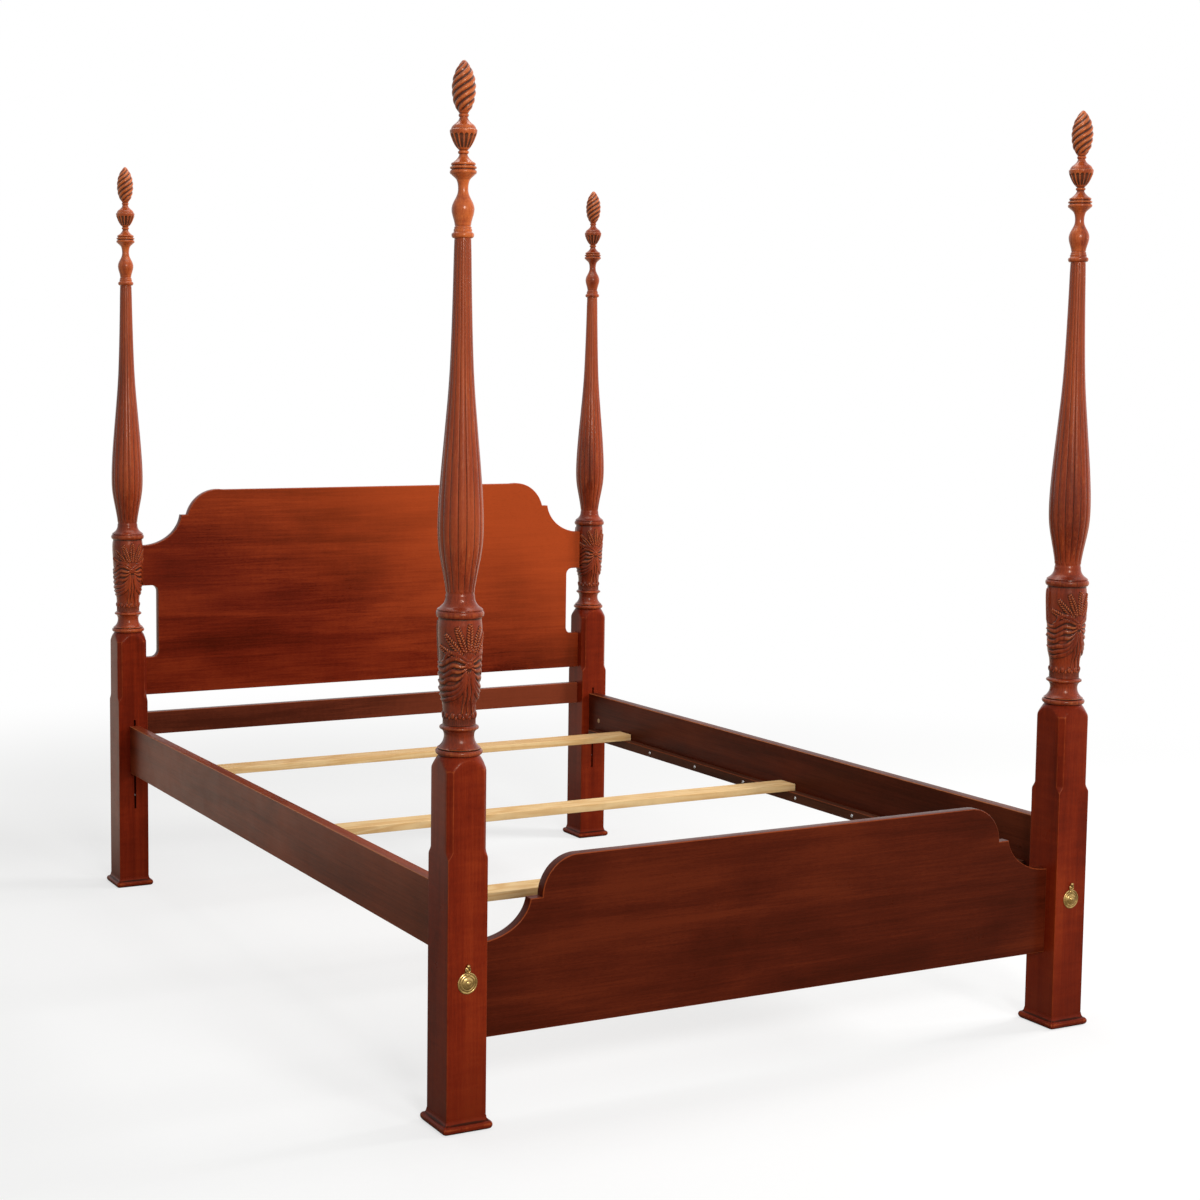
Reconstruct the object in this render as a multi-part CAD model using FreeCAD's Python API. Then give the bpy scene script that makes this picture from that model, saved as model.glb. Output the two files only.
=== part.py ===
import FreeCAD, Part
import math
import os

os.makedirs("parts", exist_ok=True)

# Poster bed, all lengths in millimetres.
# Origin: centre of the footprint on the floor. +Z up, +Y towards the headboard, +X to the right of
# someone who stands at the foot and looks at the head. Left is -X.

Vec = FreeCAD.Vector

# Mattress space
mattress_width = 1524.0
mattress_length = 2032.0
mattress_side_gap = 9.0
mattress_end_gap = 4.5

# Shared joinery values
overrun = 5.0
joint_clearance = 0.2
mortise_end_gap = 1.0
seat_gap = 0.3
screw_hole_clearance = 0.05

# Square lower part of each post
post_square = 89.0
post_chamfer = 10.0
chamfer_length = 185.0
chamfer_stop_length = 22.0
chamfer_stop_sag_share = 0.25
block_height = 734.0
pommel_height = 22.0
pommel_drop = 22.0
pommel_neck_radius = 41.0
pommel_bulge_share = 0.1

# Turned rings and bell between the square and the carved drum
lower_ring_radius = 45.2
lower_ring_height = 14.0
lower_bell_radius = 41.0
lower_bell_height = 20.0
lower_neck_radius = 27.6
lower_neck_height = 11.0
lower_bead_radius = 36.0
lower_bead_height = 18.0
bell_hollow_share = 0.25

# Carved drum and the ring over it
drum_radius = 46.6
drum_height = 211.0
upper_ring_radius = 46.5
upper_ring_height = 17.0
upper_ring_neck_radius = 43.0

# Reeded shaft with its bell foot
shaft_bell_height = 33.0
shaft_neck_radius = 28.7
shaft_radius = 45.5
shaft_height = 688.0
shaft_top_radius = 15.3
collar_radius = 20.8
collar_height = 27.0

# Turned and carved finial, from the vase up to the spiral tip
vase_radius = 22.3
vase_height = 68.0
vase_neck_radius = 9.8
disc_radius = 25.6
disc_height = 68.0
disc_neck_radius = 7.8
urn_radius = 26.4
urn_height = 70.0
tip_neck_radius = 7.4
tip_radius = 22.3
tip_height = 112.0

# Shares that shape the turnings: each pair is height share, radius share
drum_shares = (
    (0.06, 0.745), (0.12, 0.752), (0.16, 0.733), (0.20, 0.755), (0.245, 0.83), (0.29, 0.885),
    (0.34, 0.911), (0.43, 0.918), (0.53, 0.935), (0.61, 0.921), (0.66, 0.944), (0.72, 0.976),
    (0.79, 0.998), (0.87, 1.0), (0.935, 0.982), (0.98, 0.93),
)
drum_foot_share = 0.742
drum_top_share = 0.92
shaft_bell_shares = ((0.12, 0.86), (0.3, 0.745), (0.43, 0.69), (0.6, 0.648), (0.8, 0.63))
shaft_shares = (
    (0.0, 0.63), (0.014, 0.648), (0.043, 0.723), (0.073, 0.811), (0.104, 0.899), (0.134, 0.965),
    (0.165, 0.993), (0.194, 1.0), (0.225, 0.991), (0.256, 0.974), (0.286, 0.952), (0.315, 0.914),
    (0.376, 0.842), (0.436, 0.76), (0.497, 0.681), (0.556, 0.602), (0.616, 0.541), (0.676, 0.497),
    (0.765, 0.448), (0.855, 0.413), (0.943, 0.374),
)
collar_shares = ((0.2, 0.84), (0.48, 1.0), (0.68, 0.9), (0.86, 0.77))
vase_shares = (
    (0.12, 0.753), (0.25, 0.865), (0.37, 0.964), (0.49, 1.0), (0.6, 0.919), (0.71, 0.807),
    (0.82, 0.628), (0.91, 0.493),
)
disc_shares = (
    (0.1, 0.391), (0.22, 0.449), (0.31, 0.508), (0.38, 0.664), (0.44, 0.82), (0.5, 0.957),
    (0.56, 1.0), (0.63, 0.965), (0.72, 0.898), (0.81, 0.664), (0.9, 0.43),
)
urn_shares = (
    (0.1, 0.337), (0.17, 0.398), (0.29, 0.598), (0.39, 0.739), (0.49, 0.871), (0.57, 0.958),
    (0.66, 1.0), (0.74, 0.879), (0.81, 0.758), (0.87, 0.568), (0.93, 0.318),
)
tip_shares = (
    (0.07, 0.404), (0.14, 0.56), (0.25, 0.83), (0.37, 0.942), (0.5, 0.996), (0.58, 0.987),
    (0.69, 0.897), (0.8, 0.74), (0.91, 0.47), (0.97, 0.235),
)

# Dowels that join the three lengths of a post
shaft_dowel_radius = 12.0
shaft_dowel_length = 100.0
finial_dowel_radius = 5.0
finial_dowel_length = 56.0

# Flared plinth under each post
plinth_square = 110.0
plinth_height = 26.0
plinth_plate_height = 14.0
plinth_ledge = 3.5
plinth_edge_share = 0.22
plinth_hollow_share = 0.25
plinth_hollow_rise_share = 0.33
plinth_screw_radius = 2.5
plinth_screw_length = 60.0
plinth_screw_head_radius = 5.0
plinth_screw_head_height = 3.0
plinth_recess_depth = 6.0

# Boards at the head and the foot
board_thickness = 25.0
tenon_thickness = 12.0
tenon_length = 30.0
tenon_shoulder = 12.0
housing_depth = 9.0
cove_turn_share = 0.93
cove_span_count = 8

footboard_bottom = 174.0
footboard_post_height = 198.0
footboard_cove_width = 117.0
footboard_cove_rise = 77.0
footboard_ledge = 28.0
footboard_shoulder_width = 84.0
footboard_shoulder_rise = 83.0

headboard_foot_below_block = 168.0
headboard_slot_start = 56.0
headboard_slot_width = 46.0
headboard_slot_corner = 20.0
headboard_joint_rise = 73.0
headboard_joint_height = 119.0
headboard_cove_width = 120.0
headboard_cove_rise = 88.0
headboard_ledge = 20.0
headboard_shoulder_width = 113.0
headboard_shoulder_rise = 73.0

stretcher_gap = 53.0
stretcher_height = 67.0
stretcher_tenon_shoulder = 8.0

# Side rails, the cleats screwed to them and the slats that lie on the cleats
rail_thickness = 30.0
rail_setback = 33.5
rail_bottom = 340.0
rail_height = 140.0
cleat_width = 25.0
cleat_height = 27.0
cleat_end_gap = 40.0
cleat_screw_count = 8
cleat_screw_radius = 2.0
cleat_screw_length = 42.0
cleat_screw_head_radius = 4.5
cleat_screw_head_height = 2.5
slat_width = 64.0
slat_thickness = 19.0
slat_end_gap = 3.0
slat_place_shares = (0.387, -0.0294, -0.3709)

# Hook plates in the rail ends and the pins they hang on in the post slots
slot_width = 6.0
slot_depth = 22.0
slot_bottom = 233.0
slot_above_rail = 18.0
hook_thickness = 4.0
hook_reach = 16.0
hook_height = 34.0
hook_pitch = 76.0
hook_plate_thickness = 3.0
hook_plate_width = 22.0
hook_plate_height = 122.0
hook_pin_radius = 3.0
hook_pin_depth = 11.0
hook_pin_length = 62.0
hook_pin_clearance = 0.1
lower_setting_drop = 100.0
plate_screw_radius = 2.5
plate_screw_length = 45.0
plate_screw_head_radius = 4.5
plate_screw_head_height = 2.0
plate_screw_spread_share = 0.125
rail_plug_radius = 7.0
rail_plug_depth = 6.0
rail_plug_end_distance = 62.0
rail_plug_height = 58.0

# Brass cover that hangs on a pin on each foot post
cover_pivot_height = 330.0
cover_drop = 27.0
cover_radius = 21.8
cover_edge = 1.2
cover_step_radius = 16.5
cover_step_height = 2.2
cover_dome_radius = 10.0
cover_dome_height = 4.6
cover_boss_radius = 3.6
cover_boss_height = 6.6
cover_neck_width = 7.0
cover_eye_radius = 6.3
cover_tab_thickness = 1.6
cover_pin_radius = 1.5
cover_pin_clearance = 0.08
cover_pin_head_radius = 3.6
cover_pin_head_height = 2.0
cover_pin_length = 22.0

# Places worked out from the sizes above
post_half = post_square / 2
rail_inner_x = mattress_width / 2 + mattress_side_gap
post_x = rail_inner_x + rail_thickness + rail_setback - post_half
rail_length = mattress_length + 2 * mattress_end_gap
post_y = rail_length / 2 + post_half

pommel_top = block_height + pommel_height
chamfer_stop_height = block_height - chamfer_length
lower_ring_top = pommel_top + lower_ring_height
lower_bell_top = lower_ring_top + lower_bell_height
lower_neck_top = lower_bell_top + lower_neck_height
drum_bottom = lower_neck_top + lower_bead_height
drum_top = drum_bottom + drum_height
shaft_foot = drum_top + upper_ring_height
shaft_start = shaft_foot + shaft_bell_height
shaft_end = shaft_start + shaft_height
finial_foot = shaft_end + collar_height
disc_foot = finial_foot + vase_height
urn_foot = disc_foot + disc_height
tip_foot = urn_foot + urn_height
tip_top = tip_foot + tip_height

headboard_bottom = block_height - headboard_foot_below_block
stretcher_bottom = headboard_bottom - stretcher_gap - stretcher_height

cleat_top = rail_bottom + cleat_height
rail_top = rail_bottom + rail_height
slot_top = rail_top + slot_above_rail
rail_centre_x = rail_inner_x + rail_thickness / 2
hook_middle = rail_bottom + rail_height / 2
cover_face_y = -(post_y + post_half)

CORNERS = {
    "foot_left": (-1, -1),
    "foot_right": (1, -1),
    "head_left": (-1, 1),
    "head_right": (1, 1),
}
SIDES = {"left": -1, "right": 1}


def block(x0, x1, y0, y1, z0, z1):
    """A box between two values on each axis, given in either order."""
    low = Vec(min(x0, x1), min(y0, y1), min(z0, z1))
    return Part.makeBox(abs(x1 - x0), abs(y1 - y0), abs(z1 - z0), low)


def rod(radius, length, start, direction):
    """A cylinder from a point along a direction."""
    return Part.makeCylinder(radius, length, start, direction)


def fused(shapes):
    """All the shapes as one solid, with seams between coplanar faces removed."""
    whole = shapes[0]
    for shape in shapes[1:]:
        whole = whole.fuse(shape)
    return whole.removeSplitter()


def cut_by(shape, tools):
    """The shape with each tool taken out of it."""
    for tool in tools:
        shape = shape.cut(tool)
    return shape


def export(name, solids):
    """Write one node: its solids as one STEP file."""
    shape = solids[0] if len(solids) == 1 else Part.makeCompound(solids)
    shape.exportStep("parts/" + name + ".step")
    print(name, len(shape.Solids), round(shape.Volume), shape.isValid())


class Turning:
    """A lathe profile, drawn upwards from the axis, that becomes a solid of revolution."""

    def __init__(self, height, radius):
        self.edges = []
        self.point = Vec(0, 0, height)
        self.line(radius, height)

    def line(self, radius, height):
        """A straight cut to a radius and a height."""
        end = Vec(radius, 0, height)
        self.edges.append(Part.LineSegment(self.point, end).toShape())
        self.point = end

    def arc(self, radius, height, peak):
        """A round cut to a radius and a height, that passes the peak radius half way up."""
        middle = Vec(peak, 0, (self.point.z + height) / 2)
        end = Vec(radius, 0, height)
        self.edges.append(Part.Arc(self.point, middle, end).toShape())
        self.point = end

    def curve(self, shares, foot, height, radius, end_radius):
        """A flowing cut through share points, up to an end radius at the top of a stretch."""
        points = [self.point]
        for height_share, radius_share in shares:
            points.append(Vec(radius * radius_share, 0, foot + height * height_share))
        points.append(Vec(end_radius, 0, foot + height))
        spline = Part.BSplineCurve()
        spline.interpolate(points)
        self.edges.append(spline.toShape())
        self.point = points[-1]

    def solid(self, x, y):
        """The solid of revolution about the vertical line at x, y."""
        bottom = self.edges[0].Vertexes[0].Point
        if self.point.x > 0:
            self.line(0, self.point.z)
        self.edges.append(Part.LineSegment(self.point, bottom).toShape())
        face = Part.Face(Part.Wire(self.edges))
        turned = face.revolve(Vec(0, 0, 0), Vec(0, 0, 1), 360)
        turned = Part.Solid(turned.Shells[0]) if turned.ShapeType != "Solid" else turned
        turned.translate(Vec(x, y, 0))
        return turned


def chamfer_cutters():
    """Four cutters that take the corners off the square, each with a curved stop at its foot."""
    flat_distance = (post_square - post_chamfer) / math.sqrt(2)
    corner_distance = post_square / math.sqrt(2)
    outer = corner_distance + overrun
    stop_top = chamfer_stop_height + chamfer_stop_length
    top = block_height + pommel_height + overrun
    width = post_chamfer + overrun
    low_corner = Vec(corner_distance, -width, chamfer_stop_height)
    stop_end = Vec(flat_distance, -width, stop_top)
    sag = (corner_distance - flat_distance) * chamfer_stop_sag_share
    middle = Vec((corner_distance + flat_distance) / 2 - sag, -width, (chamfer_stop_height + stop_top) / 2)
    points = [stop_end, Vec(flat_distance, -width, top), Vec(outer, -width, top)]
    points += [Vec(outer, -width, chamfer_stop_height), low_corner]
    edges = [Part.LineSegment(a, b).toShape() for a, b in zip(points, points[1:])]
    edges.append(Part.Arc(low_corner, middle, stop_end).toShape())
    cutter = Part.Face(Part.Wire(edges)).extrude(Vec(0, 2 * width, 0))
    cutters = []
    for quarter in range(4):
        turned = cutter.copy()
        turned.rotate(Vec(0, 0, 0), Vec(0, 0, 1), 45 + 90 * quarter)
        cutters.append(turned)
    return cutters


def pommel_envelope():
    """The lathe shape that rounds the top of the square, so each flat face ends in an arch."""
    wide = post_square
    shape = Turning(plinth_height, wide)
    shape.line(wide, block_height - pommel_drop)
    shape.line(post_half * math.sqrt(2), block_height - pommel_drop)
    peak = (post_half * math.sqrt(2) + pommel_neck_radius) / 2 + pommel_height * pommel_bulge_share
    shape.arc(pommel_neck_radius, pommel_top, peak)
    return shape.solid(0, 0)


def lower_turning():
    """Rings, bell, neck, carved drum and upper ring, above the square."""
    shape = Turning(pommel_top - pommel_height / 2, pommel_neck_radius)
    shape.line(pommel_neck_radius, pommel_top)
    shape.arc(lower_bell_radius, lower_ring_top, lower_ring_radius)
    bell_mid = lower_neck_radius + (lower_bell_radius - lower_neck_radius) * bell_hollow_share
    shape.arc(lower_neck_radius, lower_bell_top, bell_mid)
    shape.line(lower_neck_radius, lower_neck_top)
    shape.arc(drum_radius * drum_foot_share, drum_bottom, lower_bead_radius)
    shape.curve(drum_shares, drum_bottom, drum_height, drum_radius, drum_radius * drum_top_share)
    shape.line(upper_ring_neck_radius, drum_top)
    shape.arc(upper_ring_neck_radius, shaft_foot, upper_ring_radius)
    return shape.solid(0, 0)


def hook_heights():
    """Heights of the pins: two for the rail as it hangs, two for the lower setting."""
    heights = []
    for drop in (0, lower_setting_drop):
        for side in (-1, 1):
            heights.append(hook_middle - drop + side * hook_pitch / 2)
    return heights


def mortise(inner, z0, z1):
    """A pocket for a tenon, in the face of a post towards +X, from z0 to z1."""
    half = tenon_thickness / 2 + joint_clearance
    depth = inner - tenon_length - mortise_end_gap
    return block(depth, post_half + overrun, -half, half, z0 - joint_clearance, z1 + joint_clearance)


def drum_tenon_top(joint_top):
    """Top of the headboard's tenon in the drum, below the socket of the shaft dowel."""
    socket_foot = shaft_foot - shaft_dowel_length / 2 - mortise_end_gap
    return min(joint_top - tenon_shoulder, socket_foot - tenon_shoulder / 4)


def post_block(x_side, y_side):
    """Lower length of a post: square, pommel, rings and carved drum, with its mortises."""
    square = block(-post_half, post_half, -post_half, post_half, plinth_height, pommel_top)
    square = square.common(pommel_envelope())
    square = cut_by(square, chamfer_cutters())
    body = fused([square, lower_turning()])
    socket_length = shaft_dowel_length / 2 + mortise_end_gap
    socket_radius = shaft_dowel_radius + screw_hole_clearance
    tools = [rod(socket_radius, socket_length + overrun, Vec(0, 0, shaft_foot - socket_length), Vec(0, 0, 1))]
    slot_x = post_x - rail_centre_x
    slot_y = post_half - slot_depth
    half_slot = slot_width / 2
    slot_box = (slot_x - half_slot, slot_x + half_slot, slot_y, post_half + overrun)
    tools.append(block(*slot_box, slot_bottom, slot_top))
    pin_start = post_half - hook_pin_length
    for height in hook_heights():
        start = Vec(pin_start, post_half - hook_pin_depth, height)
        radius = hook_pin_radius + screw_hole_clearance
        tools.append(rod(radius, hook_pin_length + overrun, start, Vec(1, 0, 0)))
    screw_start = Vec(0, 0, plinth_height)
    screw_depth = plinth_screw_length + plinth_recess_depth - plinth_height + mortise_end_gap
    tools.append(rod(plinth_screw_radius + screw_hole_clearance, screw_depth, screw_start, Vec(0, 0, 1)))
    if y_side < 0:
        low, high = footboard_bottom, footboard_bottom + footboard_post_height
        tools.append(mortise(post_half, low + tenon_shoulder, high - tenon_shoulder))
        pin_hole = Vec(0, -post_half + cover_pin_depth() + mortise_end_gap, cover_pivot_height)
        radius = cover_pin_radius + screw_hole_clearance
        length = cover_pin_depth() + mortise_end_gap + overrun
        tools.append(rod(radius, length, pin_hole, Vec(0, -1, 0)))
    else:
        slot_foot = block_height - headboard_slot_start
        tools.append(mortise(post_half, headboard_bottom + tenon_shoulder, slot_foot - tenon_shoulder))
        low = stretcher_bottom + stretcher_tenon_shoulder
        high = stretcher_bottom + stretcher_height - stretcher_tenon_shoulder
        tools.append(mortise(post_half, low, high))
        low = drum_bottom + headboard_joint_rise
        high = low + headboard_joint_height
        shoulder = drum_radius - housing_depth
        tools.append(mortise(shoulder, low + tenon_shoulder, drum_tenon_top(high)))
        half = board_thickness / 2 + joint_clearance
        top = high + joint_clearance
        tools.append(block(shoulder - joint_clearance, post_square, -half, half, low - joint_clearance, top))
    body = cut_by(body, tools)
    return placed(body, x_side, y_side)


def placed(shape, x_side, y_side):
    """A post piece made for the foot-left corner, mirrored and moved to its own corner."""
    moved = shape.copy()
    if x_side > 0:
        moved = moved.mirror(Vec(0, 0, 0), Vec(1, 0, 0))
    if y_side > 0:
        moved = moved.mirror(Vec(0, 0, 0), Vec(0, 1, 0))
    moved.translate(Vec(x_side * post_x, y_side * post_y, 0))
    return moved


def post_shaft(x_side, y_side):
    """Upper length of a post: bell foot, swelling reeded shaft and collar."""
    shape = Turning(shaft_foot, upper_ring_neck_radius)
    shape.curve(shaft_bell_shares, shaft_foot, shaft_bell_height, shaft_radius, shaft_radius * shaft_shares[0][1])
    shape.curve(shaft_shares[1:], shaft_start, shaft_height, shaft_radius, shaft_top_radius)
    shape.curve(collar_shares, shaft_end, collar_height, collar_radius, shaft_top_radius)
    body = shape.solid(0, 0)
    dowel_half = shaft_dowel_length / 2 + mortise_end_gap
    lower = rod(shaft_dowel_radius + screw_hole_clearance, dowel_half, Vec(0, 0, shaft_foot), Vec(0, 0, 1))
    top_half = finial_dowel_length / 2 + mortise_end_gap
    radius = finial_dowel_radius + screw_hole_clearance
    upper = rod(radius, top_half, Vec(0, 0, finial_foot), Vec(0, 0, -1))
    return placed(cut_by(body, [lower, upper]), x_side, y_side)


def post_finial(x_side, y_side):
    """Top of a post: vase, flattened disc, urn and pointed tip."""
    shape = Turning(finial_foot, shaft_top_radius)
    shape.curve(vase_shares, finial_foot, vase_height, vase_radius, vase_neck_radius)
    shape.curve(disc_shares, disc_foot, disc_height, disc_radius, disc_neck_radius)
    shape.curve(urn_shares, urn_foot, urn_height, urn_radius, tip_neck_radius)
    shape.curve(tip_shares, tip_foot, tip_height, tip_radius, 0)
    body = shape.solid(0, 0)
    half = finial_dowel_length / 2 + mortise_end_gap
    socket = rod(finial_dowel_radius + screw_hole_clearance, half, Vec(0, 0, finial_foot), Vec(0, 0, 1))
    return placed(body.cut(socket), x_side, y_side)


def plinth_slab(direction):
    """The plinth's side profile, run right across it along X or Y."""
    half = plinth_square / 2
    edge = plinth_plate_height * plinth_edge_share
    rim = half - edge
    ledge = rim - plinth_ledge
    plate = plinth_plate_height
    start = Vec(rim, 0, 0)
    points = [Vec(-rim, 0, 0), start]
    edges = [Part.LineSegment(points[0], points[1]).toShape()]
    for side in (1, -1):
        low = Vec(side * rim, 0, 0)
        bulge = Vec(side * half, 0, plate / 2)
        high = Vec(side * rim, 0, plate)
        step = Vec(side * ledge, 0, plate)
        top = Vec(side * post_half, 0, plinth_height)
        hollow_x = post_half + (ledge - post_half) * plinth_hollow_share
        hollow = Vec(side * hollow_x, 0, plate + (plinth_height - plate) * plinth_hollow_rise_share)
        edges.append(Part.Arc(low, bulge, high).toShape())
        edges.append(Part.LineSegment(high, step).toShape())
        edges.append(Part.Arc(step, hollow, top).toShape())
    edges.append(Part.LineSegment(Vec(post_half, 0, plinth_height), Vec(-post_half, 0, plinth_height)).toShape())
    face = Part.Face(Part.Wire(Part.__sortEdges__(edges)))
    slab = face.extrude(Vec(0, plinth_square, 0))
    slab.translate(Vec(0, -half, 0))
    if direction == "y":
        slab.rotate(Vec(0, 0, 0), Vec(0, 0, 1), 90)
    return slab


def foot_plinth(x_side, y_side):
    """Square flared plinth, with a counterbored hole for the screw that holds it."""
    body = plinth_slab("x").common(plinth_slab("y"))
    shank = rod(plinth_screw_radius + screw_hole_clearance, plinth_height + overrun, Vec(0, 0, 0), Vec(0, 0, 1))
    radius = plinth_screw_head_radius + joint_clearance
    recess = rod(radius, plinth_recess_depth, Vec(0, 0, 0), Vec(0, 0, 1))
    return placed(cut_by(body, [shank, recess]), x_side, y_side)


def screw(radius, length, head_radius, head_height, start, direction):
    """A round-headed screw: its head's back lies at start and its shank runs along direction."""
    back = start - direction * head_height
    return fused([rod(radius, length, start, direction), rod(head_radius, head_height, back, direction)])


def cove_points(x_post, z_post, cove):
    """Points along a cove: an ellipse from level at the post to nearly upright at the ledge."""
    cove_width, cove_rise = cove
    turn = cove_turn_share * math.pi / 2
    width = cove_width / math.sin(turn)
    rise = cove_rise / (1 - math.cos(turn))
    angles = [turn * i / cove_span_count for i in range(cove_span_count + 1)]
    return [(x_post - width * math.sin(a), z_post + rise * (1 - math.cos(a))) for a in angles]


def scrolled_outline(z_bottom, z_post, half_width, joint_x, cove, ledge, shoulder):
    """Upper edge of a board, as edges from the left post to the right post.

    The edge leaves the post level, rises in a hollow cove, steps in along a ledge and rounds
    over a shoulder to a straight top.
    """
    cove_width, cove_rise = cove
    shoulder_width, shoulder_rise = shoulder
    z_ledge = z_post + cove_rise
    z_top = z_ledge + shoulder_rise
    x_cove = half_width - cove_width
    x_shoulder = x_cove - ledge
    x_top = x_shoulder - shoulder_width
    edges = []
    for side in (-1, 1):
        joint = Vec(side * joint_x, 0, z_post)
        post = Vec(side * half_width, 0, z_post)
        hollow = Part.BSplineCurve()
        hollow.interpolate([Vec(side * x, 0, z) for x, z in cove_points(half_width, z_post, cove)])
        cove_end = Vec(side * x_cove, 0, z_ledge)
        step = Vec(side * x_shoulder, 0, z_ledge)
        slant = math.sqrt(0.5)
        round_x = x_top + shoulder_width * slant
        crown = Vec(side * round_x, 0, z_ledge + shoulder_rise * slant)
        top = Vec(side * x_top, 0, z_top)
        if joint_x > half_width:
            edges.append(Part.LineSegment(joint, post).toShape())
        edges.append(hollow.toShape())
        edges.append(Part.LineSegment(cove_end, step).toShape())
        edges.append(Part.Arc(step, crown, top).toShape())
    edges.append(Part.LineSegment(Vec(-x_top, 0, z_top), Vec(x_top, 0, z_top)).toShape())
    return edges


def tenons(end_x, z0, z1, y):
    """A pair of tenons on a board's two ends, from z0 to z1."""
    half = tenon_thickness / 2
    pair = []
    for side in (-1, 1):
        outer = side * (end_x + tenon_length)
        inner = side * (end_x - tenon_length)
        pair.append(block(inner, outer, y - half, y + half, z0, z1))
    return pair


def footboard():
    """Low scrolled board between the foot posts, with a tenon at each end."""
    end_x = post_x - post_half
    z_post = footboard_bottom + footboard_post_height
    cove = (footboard_cove_width, footboard_cove_rise)
    shoulder = (footboard_shoulder_width, footboard_shoulder_rise)
    edges = scrolled_outline(footboard_bottom, z_post, end_x, end_x, cove, footboard_ledge, shoulder)
    points = [Vec(-end_x, 0, z_post), Vec(-end_x, 0, footboard_bottom)]
    points += [Vec(end_x, 0, footboard_bottom), Vec(end_x, 0, z_post)]
    edges += [Part.LineSegment(a, b).toShape() for a, b in zip(points, points[1:])]
    panel = Part.Face(Part.Wire(Part.__sortEdges__(edges))).extrude(Vec(0, board_thickness, 0))
    panel.translate(Vec(0, -post_y - board_thickness / 2, 0))
    ends = tenons(end_x, footboard_bottom + tenon_shoulder, z_post - tenon_shoulder, -post_y)
    return fused([panel] + ends)


def headboard():
    """Tall scrolled board: let into the carved drums above, tenoned into the squares below."""
    block_x = post_x - post_half
    drum_x = post_x - drum_radius + housing_depth
    low = drum_bottom + headboard_joint_rise
    high = low + headboard_joint_height
    slot_foot = block_height - headboard_slot_start
    cove = (headboard_cove_width, headboard_cove_rise)
    shoulder = (headboard_shoulder_width, headboard_shoulder_rise)
    edges = scrolled_outline(headboard_bottom, high, block_x, drum_x, cove, headboard_ledge, shoulder)
    points = [Vec(-drum_x, 0, high), Vec(-drum_x, 0, headboard_bottom)]
    points += [Vec(drum_x, 0, headboard_bottom), Vec(drum_x, 0, high)]
    edges += [Part.LineSegment(a, b).toShape() for a, b in zip(points, points[1:])]
    panel = Part.Face(Part.Wire(Part.__sortEdges__(edges))).extrude(Vec(0, board_thickness, 0))
    panel.translate(Vec(0, post_y - board_thickness / 2, 0))
    for side in (-1, 1):
        y0 = post_y - board_thickness
        y1 = post_y + board_thickness
        inner = side * (block_x - headboard_slot_width)
        outer = side * (post_x + overrun)
        slot = block(inner, outer, y0, y1, slot_foot, low)
        corner = [edge for edge in slot.Edges if is_slot_corner(edge, inner)]
        slot = slot.makeFillet(headboard_slot_corner, corner)
        below = block(side * block_x, outer, y0, y1, headboard_bottom - overrun, slot_foot + overrun)
        panel = cut_by(panel, [slot, below])
    lower = tenons(block_x, headboard_bottom + tenon_shoulder, slot_foot - tenon_shoulder, post_y)
    upper = tenons(drum_x, low + tenon_shoulder, drum_tenon_top(high), post_y)
    return fused([panel] + lower + upper)


def is_slot_corner(edge, x):
    """Whether an edge runs through the board's thickness at the slot's inner side."""
    centre = edge.CenterOfMass
    start, end = edge.Vertexes[0].Point, edge.Vertexes[-1].Point
    return abs(centre.x - x) < seat_gap and abs(start.y - end.y) > board_thickness / 2


def head_stretcher():
    """Plain rail across the head, below the headboard."""
    end_x = post_x - post_half
    y0 = post_y - board_thickness / 2
    top = stretcher_bottom + stretcher_height
    body = block(-end_x, end_x, y0, y0 + board_thickness, stretcher_bottom, top)
    low = stretcher_bottom + stretcher_tenon_shoulder
    return fused([body] + tenons(end_x, low, top - stretcher_tenon_shoulder, post_y))


def cleat_screw_places():
    """Places of the cleat screws along the bed."""
    span = rail_length - 2 * cleat_end_gap
    pitch = span / cleat_screw_count
    return [(pitch - span) / 2 + pitch * i for i in range(cleat_screw_count)]


def side_rail(side):
    """Side rail, recessed at its ends for the hook plates and bored for screws and plugs."""
    outer = rail_inner_x + rail_thickness
    body = block(side * rail_inner_x, side * outer, -rail_length / 2, rail_length / 2, rail_bottom, rail_top)
    tools = []
    middle = side * rail_centre_x
    half_plate = hook_plate_width / 2 + joint_clearance
    z0 = hook_middle - hook_plate_height / 2 - joint_clearance
    z1 = hook_middle + hook_plate_height / 2 + joint_clearance
    for end in (-1, 1):
        face = end * rail_length / 2
        deep = face - end * (hook_plate_thickness + joint_clearance)
        tools.append(block(middle - half_plate, middle + half_plate, deep, face + end * overrun, z0, z1))
        inward = Vec(0, -end, 0)
        for height in plate_screw_heights():
            radius = plate_screw_radius + screw_hole_clearance
            depth = plate_screw_head_height + plate_screw_length + mortise_end_gap
            tools.append(rod(radius, depth, Vec(middle, face, height), inward))
        y = face - end * rail_plug_end_distance
        start = Vec(side * rail_inner_x, y, rail_bottom + rail_plug_height)
        radius = rail_plug_radius + screw_hole_clearance
        tools.append(rod(radius, rail_plug_depth + joint_clearance, start, Vec(side, 0, 0)))
    z = rail_bottom + cleat_height / 2
    for y in cleat_screw_places():
        depth = cleat_screw_length - cleat_width + mortise_end_gap
        radius = cleat_screw_radius + screw_hole_clearance
        tools.append(rod(radius, depth, Vec(side * rail_inner_x, y, z), Vec(side, 0, 0)))
    return cut_by(body, tools)


def plate_screw_heights():
    """Heights of the two screws in a hook plate, above and below its middle."""
    spread = hook_plate_height * plate_screw_spread_share
    return [hook_middle - spread, hook_middle + spread]


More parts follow.
